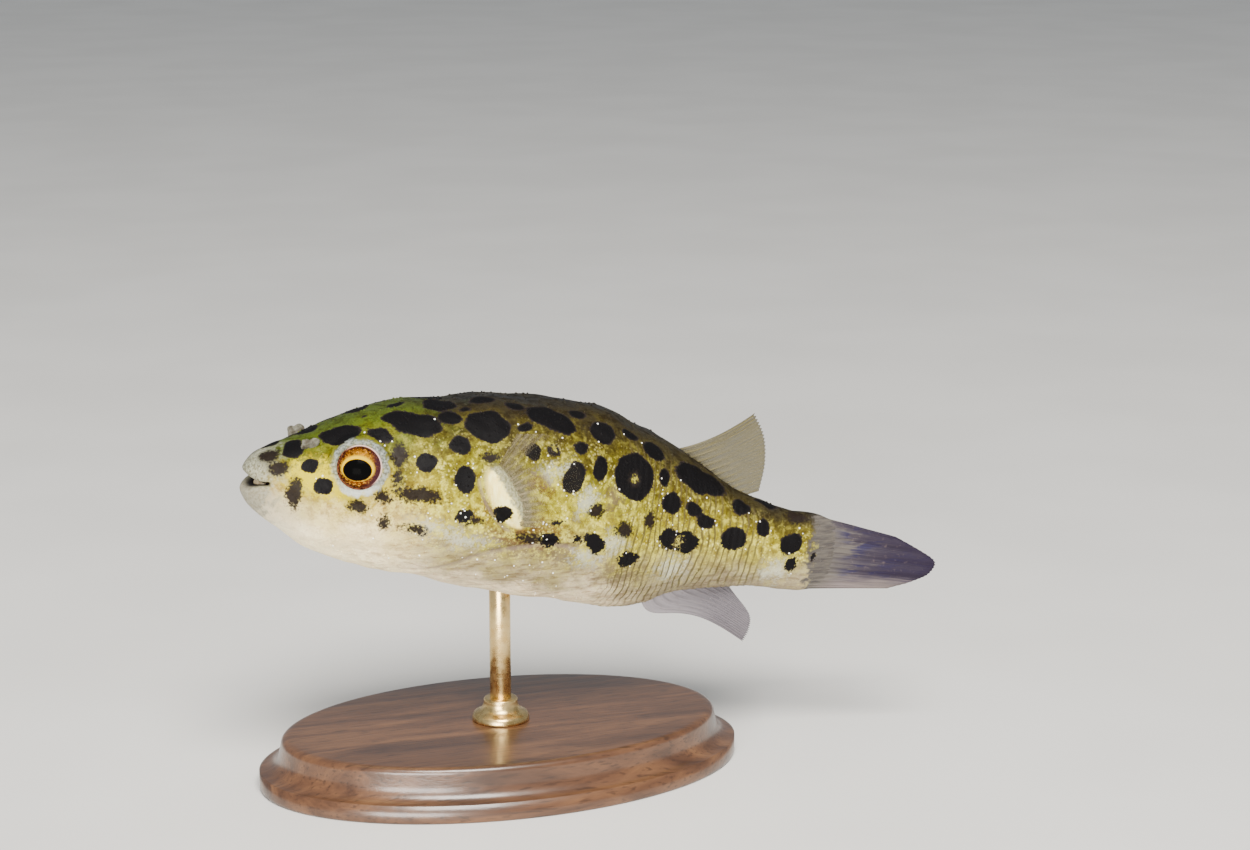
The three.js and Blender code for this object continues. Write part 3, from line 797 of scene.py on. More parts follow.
# %% [markdown]
# ## The skin's finish
# On the live fish the back is olive, the sides yellow-green and cream, and the belly a greyish
# white with a fine grain, all a little wet. The finish mixes those colours round the body, adds
# cloudy mottling and pale grains, then lays the patches, smudges and black spots over them.

# %% Shared effects
def start_group(name, inputs, outputs):
    """A node group with named sockets; returns (group, input node, output node)."""
    group = bpy.data.node_groups.new(name, "ShaderNodeTree")
    for socket, kind, value in inputs:
        made = group.interface.new_socket(socket, in_out="INPUT", socket_type=kind)
        if value is not None:
            made.default_value = value
    for socket, kind in outputs:
        group.interface.new_socket(socket, in_out="OUTPUT", socket_type=kind)
    return group, group.nodes.new("NodeGroupInput"), group.nodes.new("NodeGroupOutput")


def make_grain_group():
    """Fine wet-skin grain: small round cells and soft noise, as a height and a mask of pale grains."""
    floats = [("Cells per Metre", "NodeSocketFloat", 2500.0), ("Grain Width", "NodeSocketFloat", 0.34)]
    inputs = [("Place", "NodeSocketVector", None), *floats]
    outputs = [("Height", "NodeSocketFloat"), ("Grains", "NodeSocketFloat")]
    group, given, made = start_group("Fine skin grain", inputs, outputs)
    place, per_metre, width = given.outputs[0], given.outputs[1], given.outputs[2]
    scatter = node(group, "ShaderNodeTexVoronoi", None, {"Vector": place, "Scale": per_metre})
    soft = node(group, "ShaderNodeTexNoise", None, {"Vector": place, "Scale": 2100.0, "Detail": 3.0})
    broad = node(group, "ShaderNodeTexNoise", None, {"Vector": place, "Scale": 420.0, "Detail": 1.0})
    width = times(group, width, span(group, broad.outputs["Fac"], 0.3, 0.7, 0.35, 1.25))
    grains = span(group, sums(group, "DIVIDE", scatter.outputs["Distance"], width), 1.0, 0.45)
    height = sums(group, "MULTIPLY_ADD", soft.outputs["Fac"], 0.6, times(group, grains, 0.5))
    group.links.new(height, made.inputs["Height"])
    group.links.new(grains, made.inputs["Grains"])
    return group


GRAIN = make_grain_group()
print("nodes in the shared grain:", len(GRAIN.nodes))


def grain(tree, place, cell_size, width):
    """Places the shared grain; cell_size is in millimetres."""
    inputs = {"Place": place, "Cells per Metre": 1 / (cell_size * MM), "Grain Width": width}
    return node(tree, "ShaderNodeGroup", {"node_tree": GRAIN}, inputs)


# %% [markdown]
# The skin's recipe goes from below to above, as a painter would lay glazes. The first layer is
# the ground colour round the body: one ramp each for head, trunk and tail, joined softly.

# %% The skin's ground colour
def ground_colour(tree, place):
    """Three ramps round the body, for head, trunk and tail, joined along the fish."""
    cloud = noise(tree, place, 3.2, 3, 0.55)
    girth = plus(tree, value_of(tree, "girth"), span(tree, cloud, 0.2, 0.8, -0.07, 0.07))
    along = plus(tree, value_of(tree, "along"), span(tree, cloud, 0.2, 0.8, -2.5, 2.5))
    head = ramp(tree, girth, [
        (0.0, (0.045, 0.065, 0.008)), (0.14, (0.065, 0.09, 0.006)), (0.24, (0.09, 0.095, 0.005)),
        (0.36, (0.16, 0.14, 0.008)), (0.46, (0.34, 0.27, 0.026)), (0.58, (0.56, 0.45, 0.17)),
        (0.70, (0.80, 0.67, 0.38)), (0.80, (1.0, 0.88, 0.56)), (1.0, (1.0, 0.86, 0.54)),
    ])
    trunk = ramp(tree, girth, [
        (0.0, (0.014, 0.013, 0.012)), (0.14, (0.027, 0.021, 0.008)), (0.26, (0.068, 0.056, 0.006)),
        (0.38, (0.18, 0.165, 0.008)), (0.5, (0.29, 0.26, 0.015)), (0.62, (0.23, 0.195, 0.05)),
        (0.74, (0.38, 0.32, 0.19)), (0.84, (0.92, 0.79, 0.54)), (1.0, (1.0, 0.88, 0.60)),
    ])
    tail = ramp(tree, girth, [
        (0.0, (0.02, 0.017, 0.012)), (0.18, (0.035, 0.028, 0.008)), (0.32, (0.10, 0.082, 0.008)),
        (0.43, (0.25, 0.22, 0.016)), (0.58, (0.28, 0.245, 0.05)), (0.76, (0.28, 0.24, 0.14)),
        (1.0, (0.25, 0.20, 0.13)),
    ])
    front = mix(tree, span(tree, along, 15.0, 24.0), head, trunk)
    return mix(tree, span(tree, along, 42.0, 52.0), front, tail)


# %% [markdown]
# The layers over it all read the same few things: where a point lies on the body, two noises, and
# masks for the mottled upper side and for the bright flank. These are made once and handed on.

# %% What every layer reads
Reading = namedtuple("Reading", "tree place girth along clouds fine mottled flank")


def read_skin(tree, place):
    """Girth and place along the fish, cloudy and fine noise, and the two masks."""
    girth, along = value_of(tree, "girth"), value_of(tree, "along")
    clouds, fine = noise(tree, place, 0.9, 4, 0.6, 0.4), noise(tree, place, 0.3, 3, 0.6)
    mottled = span(tree, girth, 0.5, 0.7, 1.0, 0.3)
    flank = times(tree, span(tree, girth, 0.12, 0.4), span(tree, girth, 0.72, 0.55, 0.25, 1.0))
    flank = times(tree, flank, span(tree, along, 12.0, 22.0, 0.35, 1.0))
    return Reading(tree, place, girth, along, clouds, fine, mottled, flank)


# %% Mottling, and grey streaks low on the flank
def mottling(read, colour):
    """Brown clouds over the back, yellow ones over the flank, then finer brown and pinkish grain."""
    tree = read.tree
    brown = times(tree, span(tree, read.clouds, 0.47, 0.66, 0.0, 0.8), read.mottled)
    colour = mix(tree, brown, colour, (0.42, 0.34, 0.20), "MULTIPLY")
    yellow = times(tree, span(tree, read.clouds, 0.5, 0.36, 0.0, 0.5), read.flank)
    colour = mix(tree, yellow, colour, (0.62, 0.57, 0.10))
    fine_brown = times(tree, span(tree, read.fine, 0.46, 0.68, 0.0, 0.5), read.mottled)
    colour = mix(tree, fine_brown, colour, (0.42, 0.33, 0.22), "MULTIPLY")
    pinkish = span(tree, noise(tree, read.place, 0.16, 2, 0.6), 0.55, 0.68, 0.0, 0.4)
    return mix(tree, pinkish, colour, (0.72, 0.56, 0.50), "MULTIPLY")


def low_streaks(read, colour):
    """Long grey streaks between flank and belly, from stretched noise."""
    tree, girth = read.tree, read.girth
    lengthwise = stretched(tree, read.place, (0.22, 0.6, 1.0))
    streaks = span(tree, noise(tree, lengthwise, 0.55, 4, 0.65, 0.6), 0.46, 0.64)
    low_down = times(tree, span(tree, girth, 0.56, 0.68), span(tree, girth, 0.95, 0.8, 0.35, 1.0))
    low_down = times(tree, low_down, span(tree, read.along, 9.0, 17.0))
    share = times(tree, times(tree, streaks, low_down), 0.7)
    return mix(tree, share, colour, (0.50, 0.42, 0.38), "MULTIPLY")


# %% Patches without an outline
PATCH_TINTS = {
    "gold": ((0.54, 0.44, 0.002), 0.85),
    "dusk": ((0.11, 0.08, 0.05), 0.7),
    "pearl": ((0.52, 0.54, 0.44), 0.5),
    "rust": ((0.09, 0.04, 0.010), 0.75),
}


def patches(read, colour):
    """One soft patch layer for each tint; both noises push its edge about."""
    tree = read.tree
    push = span(tree, plus(tree, read.clouds, read.fine), 0.8, 1.2, -0.7, 0.7)
    for name, (tint, share) in PATCH_TINTS.items():
        edge = plus(tree, value_of(tree, name), push)
        colour = mix(tree, span(tree, edge, -0.8, 0.9, 0.0, share), colour, tint)
    return colour


# %% Lips, painted shade in folds and creases, and the tail fin's root
def lips_and_jaw(read, colour):
    """A greyish jaw, then grey lips with a fine grain; the lips' border wavers with the clouds."""
    tree, girth = read.tree, read.girth
    lips = span(tree, plus(tree, read.along, span(tree, read.clouds, 0.3, 0.7, -1.0, 1.0)), 4.6, 1.5)
    jaw = times(tree, span(tree, read.along, 9.0, 4.0), span(tree, girth, 0.48, 0.6, 0.0, 0.4))
    colour = mix(tree, jaw, colour, (0.46, 0.43, 0.37))
    pale_lip = mix(tree, span(tree, girth, 0.4, 0.6), (0.34, 0.34, 0.26), (0.23, 0.225, 0.18))
    lip_tint = mix(tree, span(tree, read.fine, 0.35, 0.65), (0.13, 0.12, 0.085), pale_lip)
    return mix(tree, times(tree, lips, 0.85), colour, lip_tint)


def painted_fold_shade(read, colour):
    """Painted shade: thin dark lines over the tail's folds, one every FOLD_SPACING, and a dark throat
    crease and gill slit.
    """
    tree = read.tree
    fine_waver = times(tree, read.clouds, 0.2)
    waver = sums(tree, "MULTIPLY_ADD", noise(tree, read.place, 6.0, 2), 2.4, fine_waver)
    turn = times(tree, plus(tree, read.along, waver), 2 * math.pi / FOLD_SPACING)
    breaks = span(tree, noise(tree, read.place, 2.2, 2), 0.3, 0.5, 0.3, 1.0)
    fold_shade_lines = times(tree, span(tree, sums(tree, "SINE", turn), 0.35, 0.9), breaks)
    fold_shade_lines = times(tree, fold_shade_lines, value_of(tree, "fold"))
    fold_shade_lines = times(tree, fold_shade_lines, span(tree, read.girth, 0.75, 0.9, 0.85, 0.4))
    # Painted shade in the grooves between the tail's folds.
    colour = mix(tree, fold_shade_lines, colour, (0.07, 0.055, 0.02))
    # Painted shade in the throat crease and the gill slit.
    crease = span(tree, value_of(tree, "crease"), 0.25, 1.0, 0.0, 0.5)
    return mix(tree, crease, colour, (0.20, 0.15, 0.12))


def tail_fin_root(read, colour):
    """The flesh that carries the tail fin, streaked along its rays."""
    tree = read.tree
    fin_end = plus(tree, read.along, span(tree, read.clouds, 0.3, 0.7, -0.7, 0.7))
    lengthwise = stretched(tree, read.place, (0.12, 0.12, 1.0))
    streaks = span(tree, noise(tree, lengthwise, 0.2, 3), 0.3, 0.7)
    tint = mix(tree, streaks, (0.050, 0.044, 0.042), (0.090, 0.080, 0.068))
    return mix(tree, span(tree, fin_end, 69.2, 70.4), colour, tint)


# %% Smudges and black spots
def spots(read, colour):
    """Brown smudges, then black spots with a brown rim, more frayed low down; and the spots' masks."""
    tree, fine = read.tree, read.fine
    edge = span(tree, fine, 0.3, 0.7, -0.16, 0.16)
    smudge = plus(tree, value_of(tree, "smudge"), times(tree, edge, 1.7))
    colour = mix(tree, span(tree, smudge, -0.35, 0.2, 0.0, 0.99), colour, (0.010, 0.0065, 0.005))
    frayed = times(tree, edge, span(tree, read.girth, 0.42, 0.6, 0.5, 1.5))
    spot = plus(tree, value_of(tree, "spot"), frayed)
    rim = mix(tree, span(tree, fine, 0.35, 0.65), (0.010, 0.007, 0.005), (0.02, 0.015, 0.014))
    black = mix(tree, span(tree, spot, 0.03, 0.22), rim, (0.003, 0.0026, 0.003))
    ink = span(tree, spot, -0.05, 0.06)
    return mix(tree, ink, colour, black), spot, ink


# %% Fin lobes, eye rims and nostril flaps
def fin_lobe(read, colour, spot):
    """Ivory with soft upright streaks, and a grey striped rear edge."""
    tree = read.tree
    lobe = times(tree, value_of(tree, "lobe"), span(tree, spot, 0.0, -0.1))
    upright = noise(tree, stretched(tree, read.place, (1.0, 1.0, 0.25)), 0.5, 3, 0.6)
    upright = span(tree, upright, 0.3, 0.7)
    ivory = mix(tree, upright, (0.85, 0.66, 0.16), (1.0, 0.90, 0.38))
    rear_edge = plus(tree, value_of(tree, "lobe_rim"), span(tree, read.clouds, 0.3, 0.7, -0.3, 0.3))
    striped = mix(tree, span(tree, read.fine, 0.35, 0.65), (0.17, 0.16, 0.08), (0.34, 0.33, 0.21))
    return mix(tree, lobe, colour, mix(tree, span(tree, rear_edge, 0.2, 0.8), ivory, striped))


def eye_rim(read, colour):
    """A grainy blue-grey ring round the eye, made paler below it by painted light, with a ragged outer
    edge.
    """
    tree = read.tree
    rim_blue_and_painted_light = mix(tree, span(tree, read.fine, 0.36, 0.64), (0.06, 0.065, 0.06), (0.25, 0.275, 0.25))
    # Painted light: the ring is paler on its lower side, where light falls.
    rim_blue_and_painted_light = mix(tree, span(tree, read.girth, 0.40, 0.5, 0.0, 0.7), rim_blue_and_painted_light, (0.60, 0.66, 0.66))
    ragged = plus(tree, value_of(tree, "ring"), span(tree, read.clouds, 0.3, 0.7, -0.45, 0.25))
    ring = times(tree, span(tree, ragged, 0.2, 0.85), span(tree, value_of(tree, "ring"), 0.0, 0.3))
    return mix(tree, times(tree, ring, 0.85), colour, rim_blue_and_painted_light)


def nostril_flaps(read, colour):
    """Grey-brown flaps, cloudy as the skin is."""
    tree = read.tree
    tint = mix(tree, span(tree, read.clouds, 0.35, 0.65), (0.055, 0.048, 0.035), (0.14, 0.135, 0.105))
    return mix(tree, span(tree, value_of(tree, "flap"), 0.2, 0.8), colour, tint)


# %% [markdown]
# All layers together, and the wet surface: a low gloss that is a little duller on the clouds, a
# trace of light that enters the skin, and a grain too fine to be made as geometry.

# %% The skin's material
def skin_material():
    """The layers from below to above, then roughness and grain."""
    material, tree, shader, place = start_material(
        "fish_skin", 0.5, Specular_IOR_Level=0.08,
        Subsurface_Weight=0.1, Subsurface_Radius=(1.0, 0.6, 0.4), Subsurface_Scale=0.0006)
    read = read_skin(tree, place)
    speck = grain(tree, place, 0.42, 0.36)
    colour = ground_colour(tree, place)
    for layer in (mottling, low_streaks, patches):
        colour = layer(read, colour)
    pale_grains = times(tree, times(tree, speck.outputs["Grains"], read.flank), 0.35)
    colour = mix(tree, pale_grains, colour, (0.82, 0.74, 0.26))
    for layer in (lips_and_jaw, painted_fold_shade, tail_fin_root):
        colour = layer(read, colour)
    colour, spot, ink = spots(read, colour)
    colour = fin_lobe(read, colour, spot)
    colour = nostril_flaps(read, eye_rim(read, colour))
    # Painted shade: deep in the mouth's pocket the dark pink-brown lining goes nearly black.
    colour = mix(tree, value_of(tree, "mouth"), colour, (0.012, 0.006, 0.006))
    # Painted highlight: white papilla tips stand for glints of light.
    colour = mix(tree, span(tree, value_of(tree, "tip"), 0.5, 1.0), colour, (0.95, 0.94, 0.86))
    tree.links.new(colour, shader.inputs["Base Color"])
    wet = sums(tree, "MULTIPLY_ADD", ink, 0.12, span(tree, read.clouds, 0.3, 0.7, 0.4, 0.56))
    tree.links.new(wet, shader.inputs["Roughness"])
    bump(tree, plus(tree, speck.outputs["Height"], times(tree, read.clouds, 0.8)), 0.05, shader)
    return material


SKIN_FINISH = skin_material()
skin_points, skin_faces, skin_values = join_skin()
FLESH = [
    "upper_lip", "lower_lip", "head", "trunk", "belly", "tail_stalk",
    "pectoral_base_left", "pectoral_base_right", "nostril_left", "nostril_right",
]
make_piece("skin", pose(skin_points), skin_faces, SKIN_FINISH, FLESH, skin_values)

# %% [markdown]
# ## The eyes
# A golden iris with a black oval pupil, drawn on the domed front of the eyeball under a faint clear
# coat. The eyeball is a full sphere, as deep as a real one; its surface holds the distances that draw
# iris, ring and pupil.

# %% Eyeballs
EYE_RADIUS = 3.45
RING_CROWDING = 1.5


def eyeball_points(side, rows=90, columns=120):
    """A sphere about the eye's axis, its rings closer at the front; and the places on the iris."""
    centre, axis, up, tailward = eye_frame(side)
    polar = np.pi * np.linspace(0, 1, rows)[:, None] ** RING_CROWDING
    turn = np.linspace(0, 2 * np.pi, columns, endpoint=False)
    across = EYE_RADIUS * np.sin(polar) * np.cos(turn)
    above = EYE_RADIUS * np.sin(polar) * np.sin(turn)
    along = EYE_RADIUS * np.cos(polar) + 0 * turn
    points = centre + across[..., None] * tailward + above[..., None] * up + along[..., None] * axis
    return points, across, above


# %% The iris
def iris_material():
    """A golden-brown ground, flecks, fibres, painted shade to the tail, a yellow ring, a painted
    highlight and a black pupil, by the place.
    """
    material, tree, shader, place = start_material(
        "golden_eye", 0.35, Coat_Weight=0.008, Coat_Roughness=0.12, Specular_IOR_Level=0.0)
    pupil, rim = value_of(tree, "pupil"), value_of(tree, "rim")
    above, across = value_of(tree, "above"), value_of(tree, "across")
    fibres = noise(tree, place, 0.35, 4, 0.7, 0.8)
    base = ramp(tree, plus(tree, rim, span(tree, fibres, 0.3, 0.7, -0.08, 0.08)), [
        (0.35, (0.22, 0.08, 0.0015)), (0.6, (0.13, 0.032, 0.002)), (0.76, (0.06, 0.012, 0.002)),
        (0.86, (0.008, 0.003, 0.002)), (0.93, (0.20, 0.07, 0.03)), (0.98, (0.02, 0.006, 0.006)),
    ])
    gold = times(tree, span(tree, above, 0.1, 1.2), span(tree, rim, 0.85, 0.55))
    base = mix(tree, times(tree, gold, 0.8), base, (0.23, 0.11, 0.002))
    flecks = span(tree, noise(tree, place, 0.22, 3, 0.65, 0.5), 0.52, 0.62)
    base = mix(tree, times(tree, flecks, span(tree, rim, 0.9, 0.8)), base, (0.42, 0.19, 0.02))
    dark_fibres = times(tree, span(tree, fibres, 0.48, 0.58), span(tree, rim, 0.5, 0.65))
    base = mix(tree, times(tree, dark_fibres, 0.85), base, (0.018, 0.004, 0.003))
    # Painted shade: the iris darkens towards its tail side.
    shade = times(tree, span(tree, across, 0.5, 2.0), span(tree, rim, 0.45, 0.75))
    base = mix(tree, times(tree, shade, 0.8), base, (0.035, 0.012, 0.018))
    wider_above = sums(tree, "MULTIPLY_ADD", above, -0.12, pupil)
    ring = times(tree, span(tree, pupil, 1.02, 1.08), span(tree, wider_above, 1.36, 1.12))
    base = mix(tree, ring, base, (0.58, 0.37, 0.0005))
    # Painted highlight: a pale pinkish arc near the iris's edge, above and towards the tail.
    arc = times(tree, span(tree, rim, 0.9, 0.94), span(tree, rim, 0.99, 0.96))
    arc = times(tree, arc, span(tree, plus(tree, above, across), -0.5, 1.5))
    base = mix(tree, arc, base, (0.62, 0.42, 0.36))
    base = mix(tree, span(tree, pupil, 1.04, 1.0), base, (0.002, 0.002, 0.002))
    tree.links.new(base, shader.inputs["Base Color"])
    return material


# %% Pupils, and both eyes
PUPIL_HALF = (1.56, 1.17)
PUPIL_DOWN = 0.42
PUPIL_FORWARD = 0.14
PUPIL_TILT = math.radians(5)
BACK_OF_EYE = 0.7
FAR_FROM_PUPIL = 9
IRIS_FINISH = iris_material()
for side, side_name in ((-1, "left"), (1, "right")):
    ball, across, above = eyeball_points(side)
    pupil_x, pupil_z = across + PUPIL_FORWARD, above + PUPIL_DOWN
    pupil_across = (pupil_x * math.cos(PUPIL_TILT) + pupil_z * math.sin(PUPIL_TILT)) / PUPIL_HALF[0]
    pupil_above = (pupil_z * math.cos(PUPIL_TILT) - pupil_x * math.sin(PUPIL_TILT)) / PUPIL_HALF[1]
    behind = np.linspace(0, 1, len(ball))[:, None] > BACK_OF_EYE
    values = {
        "pupil": np.hypot(pupil_across, pupil_above) + FAR_FROM_PUPIL * behind,
        "rim": np.hypot(across, above) / IRIS_RADIUS + FAR_FROM_PUPIL * behind,
        "above": above,
        "across": across,
    }
    faces = grid_faces(*across.shape, flip=side < 0)
    make_piece(
        "eyeball_" + side_name, pose(ball), faces, IRIS_FINISH, ["eye_" + side_name], values)

# %% [markdown]
# ## The beak
# Two plates of fused teeth, each with a line down its middle, show as a thin pale edge between
# the lips. Each plate is a grid from its cutting edge back into the jaw.

# %% Beak plates
BEAK_AT = 1.9
BEAK_HALF_WIDTH = 1.3
BEAK_DEPTH = 1.3
BEAK_RISE = 0.85
BEAK_HALF_WALL = 0.22
SUTURE = 0.05


def beak_plate(up, columns=40, rows=16):
    """A curved shell: across follows the jaw's arch, round_edge goes over the cutting edge."""
    across = np.linspace(-1, 1, columns)[:, None]
    round_edge = np.linspace(0, 2 * np.pi, rows, endpoint=False)
    arch = BEAK_AT + BEAK_DEPTH * (1 - np.sqrt(1 - 0.96 * across**2))
    suture = SUTURE * np.exp(-((across / SUTURE) ** 2))
    taper = (1 - 0.9 * np.abs(across) ** 6) ** 0.5
    s = arch + suture - BEAK_HALF_WALL * taper * np.cos(round_edge)
    y = BEAK_HALF_WIDTH * across + 0 * round_edge
    level = MOUTH_LEVEL + MOUTH_RISE * BEAK_AT
    z = level + up * (0.07 + BEAK_RISE * taper * (0.5 - 0.5 * np.sin(round_edge)) + 0.25 * across**2)
    return np.stack([s, y, z], -1)


# %% The beak's finish
def beak_material():
    """Ivory clouded with brown; the same clouds are a shallow bump."""
    material, tree, shader, place = start_material("beak", 0.35, Coat_Weight=0.1)
    shade = noise(tree, place, 0.25, 3, 0.6)
    colour = mix(tree, span(tree, shade, 0.3, 0.7), (0.26, 0.19, 0.10), (0.42, 0.34, 0.21))
    tree.links.new(colour, shader.inputs["Base Color"])
    bump(tree, shade, 0.02, shader)
    return material


BEAK_FINISH = beak_material()
for up, name in ((1, "beak_upper"), (-1, "beak_lower")):
    plate, faces = closed_tube(beak_plate(up), flip=up < 0)
    make_piece("plate_of_" + name, pose(plate), faces, BEAK_FINISH, [name])

# %% [markdown]
# ## The fins
# A fin is a thin skin stretched over rays that fork on their way to the margin. Each is one
# closed sheet between a root line and a margin line; it is thicker on each ray, thinner between
# them, and its margin is scalloped a little. The membrane lets some light through.

# %% Outlines of the fins
DORSAL = {
    "root": [(50.2, 0, 9.0), (55.4, 0.1, 6.6), (60.0, 0, 4.6)],
    "margin": [(60.4, 0.9, 14.9), (62.1, 1.2, 12.3), (62.8, 1.1, 9.1), (62.6, 0.6, 5.7)],
    "rays": 11, "thickness": (0.9, 0.16), "hollow": -1.0,
}
ANAL = {
    "root": [(50.6, 0, -8.2), (55.6, 0, -6.2), (60.2, 0, -5.4)],
    "margin": [(63.9, -0.8, -12.5), (64.3, -1.1, -10.8), (64.0, -1.0, -9.0), (61.8, -0.4, -6.9)],
    "rays": 10, "thickness": (1.1, 0.18), "swell": -2.4, "hollow": 0.55,
}
TAIL_FIN = {
    "root": [(69.2, 0, 4.0), (70.4, 0, 1.6), (70.8, 0, -0.6), (70.8, 0, -2.8), (70.2, 0, -5.0)],
    "margin": [
        (79.8, 0, 3.1), (82.8, 0, 2.05), (85.0, 0, 0.95),
        (84.6, 0, -0.6), (82.9, 0, -1.85), (80.0, 0, -3.3),
    ],
    "rays": 14, "thickness": (1.4, 0.3), "pleat": 0.07, "folds": 4.5, "relief": 0.22, "scallop": 0.008,
}
PECTORAL_ROOT = [(26.9, 9.4, 6.8), (28.6, 10.2, 3.6), (30.4, 10.4, 0.2)]
PECTORAL_MARGIN = {
    "left": [
        (26.6, 14.2, 11.4), (30.4, 15.6, 11.9), (33.3, 15.5, 10.1),
        (35.3, 15.2, 6.6), (35.8, 14.6, 3.4), (34.9, 13.6, 0.8),
    ],
    "right": [
        (29.4, 12.2, 9.3), (33.2, 13.6, 9.0), (35.9, 14.2, 7.1),
        (37.6, 14.3, 4.3), (37.6, 13.9, 1.6), (36.4, 13.2, -0.8),
    ],
}

# %% Curves, rays and pleats
SCALLOPS = 22
FORK_FROM, FORK_TO = 0.42, 0.75


def through(points, t):
    """A smooth curve through the points; at each point it runs along its neighbours' chord."""
    p = np.array(points, float)
    p = np.concatenate([[2 * p[0] - p[1]], p, [2 * p[-1] - p[-2]]])
    place = np.clip(t, 0, 1) * (len(points) - 1)
    i = np.minimum(place.astype(int), len(points) - 2)
    f = (place - i)[..., None]
    a, b, c, d = p[i], p[i + 1], p[i + 2], p[i + 3]
    bend = (2 * a - 5 * b + 4 * c - d) * f**2 + (3 * b - 3 * c + d - a) * f**3
    return b + 0.5 * ((c - a) * f + bend)


def ray_ridge(t, r, rays):
    """1 on a ray and 0 between rays; beyond half-way each ray forks in two."""
    single = 0.5 + 0.5 * np.cos(2 * np.pi * rays * t)
    forked = 0.5 + 0.5 * np.cos(4 * np.pi * rays * t + np.pi)
    fork = smooth_step(r, FORK_FROM, FORK_TO)
    return (single * (1 - fork) + forked * fork) ** 2


def fin_middle(t, r, root, margin, swell=0, hollow=0, pleat=0, folds=5, scallop=0.02):
    """Straight rays from root to margin, lifted at the leading edge and pleated sideways."""
    reach = r * (1 - scallop * smooth_step(r, 0.7, 1.0) * np.sin(np.pi * t * SCALLOPS) ** 2)
    point = through(root, t) * (1 - reach[..., None]) + through(margin, t) * reach[..., None]
    bulge = swell * 4.3 * np.sqrt(reach) * (1 - reach) ** 4
    lead = (1 - t) ** 2 * (bulge + hollow * 4 * reach * (1 - reach))
    side = pleat * np.sin(2 * np.pi * folds * t) * np.minimum(1, 2 * reach) * (1 - 0.4 * reach)
    return point + np.stack([0 * t, side, lead], -1)


# %% The fin sheet
POINTS_PER_RAY = 14


def fin_sheet(rays, thickness, flank=1, steps=44, relief=0.58, **shape):
    """Both faces of the fin as one loop from root over the margin and back, its two ends closed."""
    across, out = rays * POINTS_PER_RAY + 1, np.linspace(0, 1, steps)
    t, r = np.meshgrid(np.linspace(0, 1, across), out, indexing="ij")
    middle = fin_middle(t, r, **shape)
    normal = np.cross(np.gradient(middle, axis=0), np.gradient(middle, axis=1))
    normal /= np.linalg.norm(normal, axis=-1, keepdims=True) + 1e-12
    ridge = ray_ridge(t, r, rays)
    thick, thin = thickness
    half = (thick + (thin - thick) * np.sqrt(r)) / 2 * (1 - relief + relief * ridge)
    half *= np.sqrt(1 - 0.9 * smooth_step(r, 0.9, 1.0))
    half *= 0.35 + 0.65 * smooth_step(np.minimum(t, 1 - t), 0, 0.03)
    offset = normal * half[..., None]
    loop = np.concatenate([middle + offset, (middle - offset)[:, ::-1]], 1)
    loop[..., 1] *= flank
    values = {"ray": ridge, "out": r, "fan": t}
    values = {key: np.concatenate([value, value[:, ::-1]], 1) for key, value in values.items()}
    faces = grid_faces(*loop.shape[:2], flip=flank > 0)
    start = np.arange(steps - 1)
    for row, turned in ((0, flank > 0), (across - 1, flank < 0)):
        ring = row * 2 * steps
        end = ring + 2 * steps - 1 - start
        quad = [ring + start, ring + start + 1, end - 1, end]
        faces += np.stack(quad[::-1] if turned else quad, -1).tolist()
    return loop, faces, values


# %% [markdown]
# The fins share one recipe with four sets of colours: a membrane, paler or darker rays in it, a
# fleshy root, and streaks that follow the rays. The clearer the fin, the lower its alpha.

# %% Streaks along the rays
def make_streak_group():
    """Noise stretched from root to margin, and a height for rays, streaks and cross-segments."""
    inputs = [(name, "NodeSocketFloat", 0.0) for name in ("Fan", "Out", "Ray")]
    outputs = [("Streak", "NodeSocketFloat"), ("Height", "NodeSocketFloat")]
    group, given, made = start_group("Ray streaks", inputs, outputs)
    fan, out, ray = given.outputs[0], given.outputs[1], given.outputs[2]
    fan_place = {0: times(group, fan, 60.0), 1: times(group, out, 3.5)}
    place = node(group, "ShaderNodeCombineXYZ", None, fan_place).outputs[0]
    clouds = node(group, "ShaderNodeTexNoise", None, {"Vector": place, "Scale": 1.0, "Detail": 3.0})
    streak = clouds.outputs["Fac"]
    cross = sums(group, "SINE", times(group, out, 150.0))
    segments = times(group, span(group, cross, 0.2, 0.9), ray)
    height = sums(group, "MULTIPLY_ADD", segments, 0.25, plus(group, ray, streak))
    group.links.new(span(group, streak, 0.3, 0.7), made.inputs["Streak"])
    group.links.new(height, made.inputs["Height"])
    return group


STREAKS = make_streak_group()
print("nodes in the shared streaks:", len(STREAKS.nodes))


# %% The tail fin's own colours
def tail_fin_paint(tree, place, colour, fan, out, streak):
    """Pale patches and deep blue streaks along the rays, a dusky outer part and a pale lower edge."""
    along_rays = stretched(tree, place, (0.2, 0.2, 1.0))
    pale = span(tree, noise(tree, along_rays, 1.1, 4, 0.65), 0.47, 0.6, 0.0, 0.75)
    pale = times(tree, pale, span(tree, out, 0.95, 0.35, 0.15, 1.0))
    colour = mix(tree, pale, colour, (0.105, 0.092, 0.078))
    deep = span(tree, noise(tree, along_rays, 0.7, 3, 0.6, 0.3), 0.5, 0.62, 0.0, 0.85)
    colour = mix(tree, times(tree, deep, span(tree, out, 0.1, 0.35)), colour, (0.012, 0.011, 0.05))
    outer = span(tree, sums(tree, "MULTIPLY_ADD", streak, 0.3, out), 0.25, 0.9)
    outer = times(tree, outer, span(tree, fan, 0.97, 0.72))
    colour = mix(tree, times(tree, outer, 0.9), colour, (0.014, 0.009, 0.021))
    lower_edge = span(tree, sums(tree, "MULTIPLY_ADD", streak, 0.1, fan), 0.78, 0.98, 0.0, 0.9)
    return mix(tree, lower_edge, colour, (0.15, 0.122, 0.115))


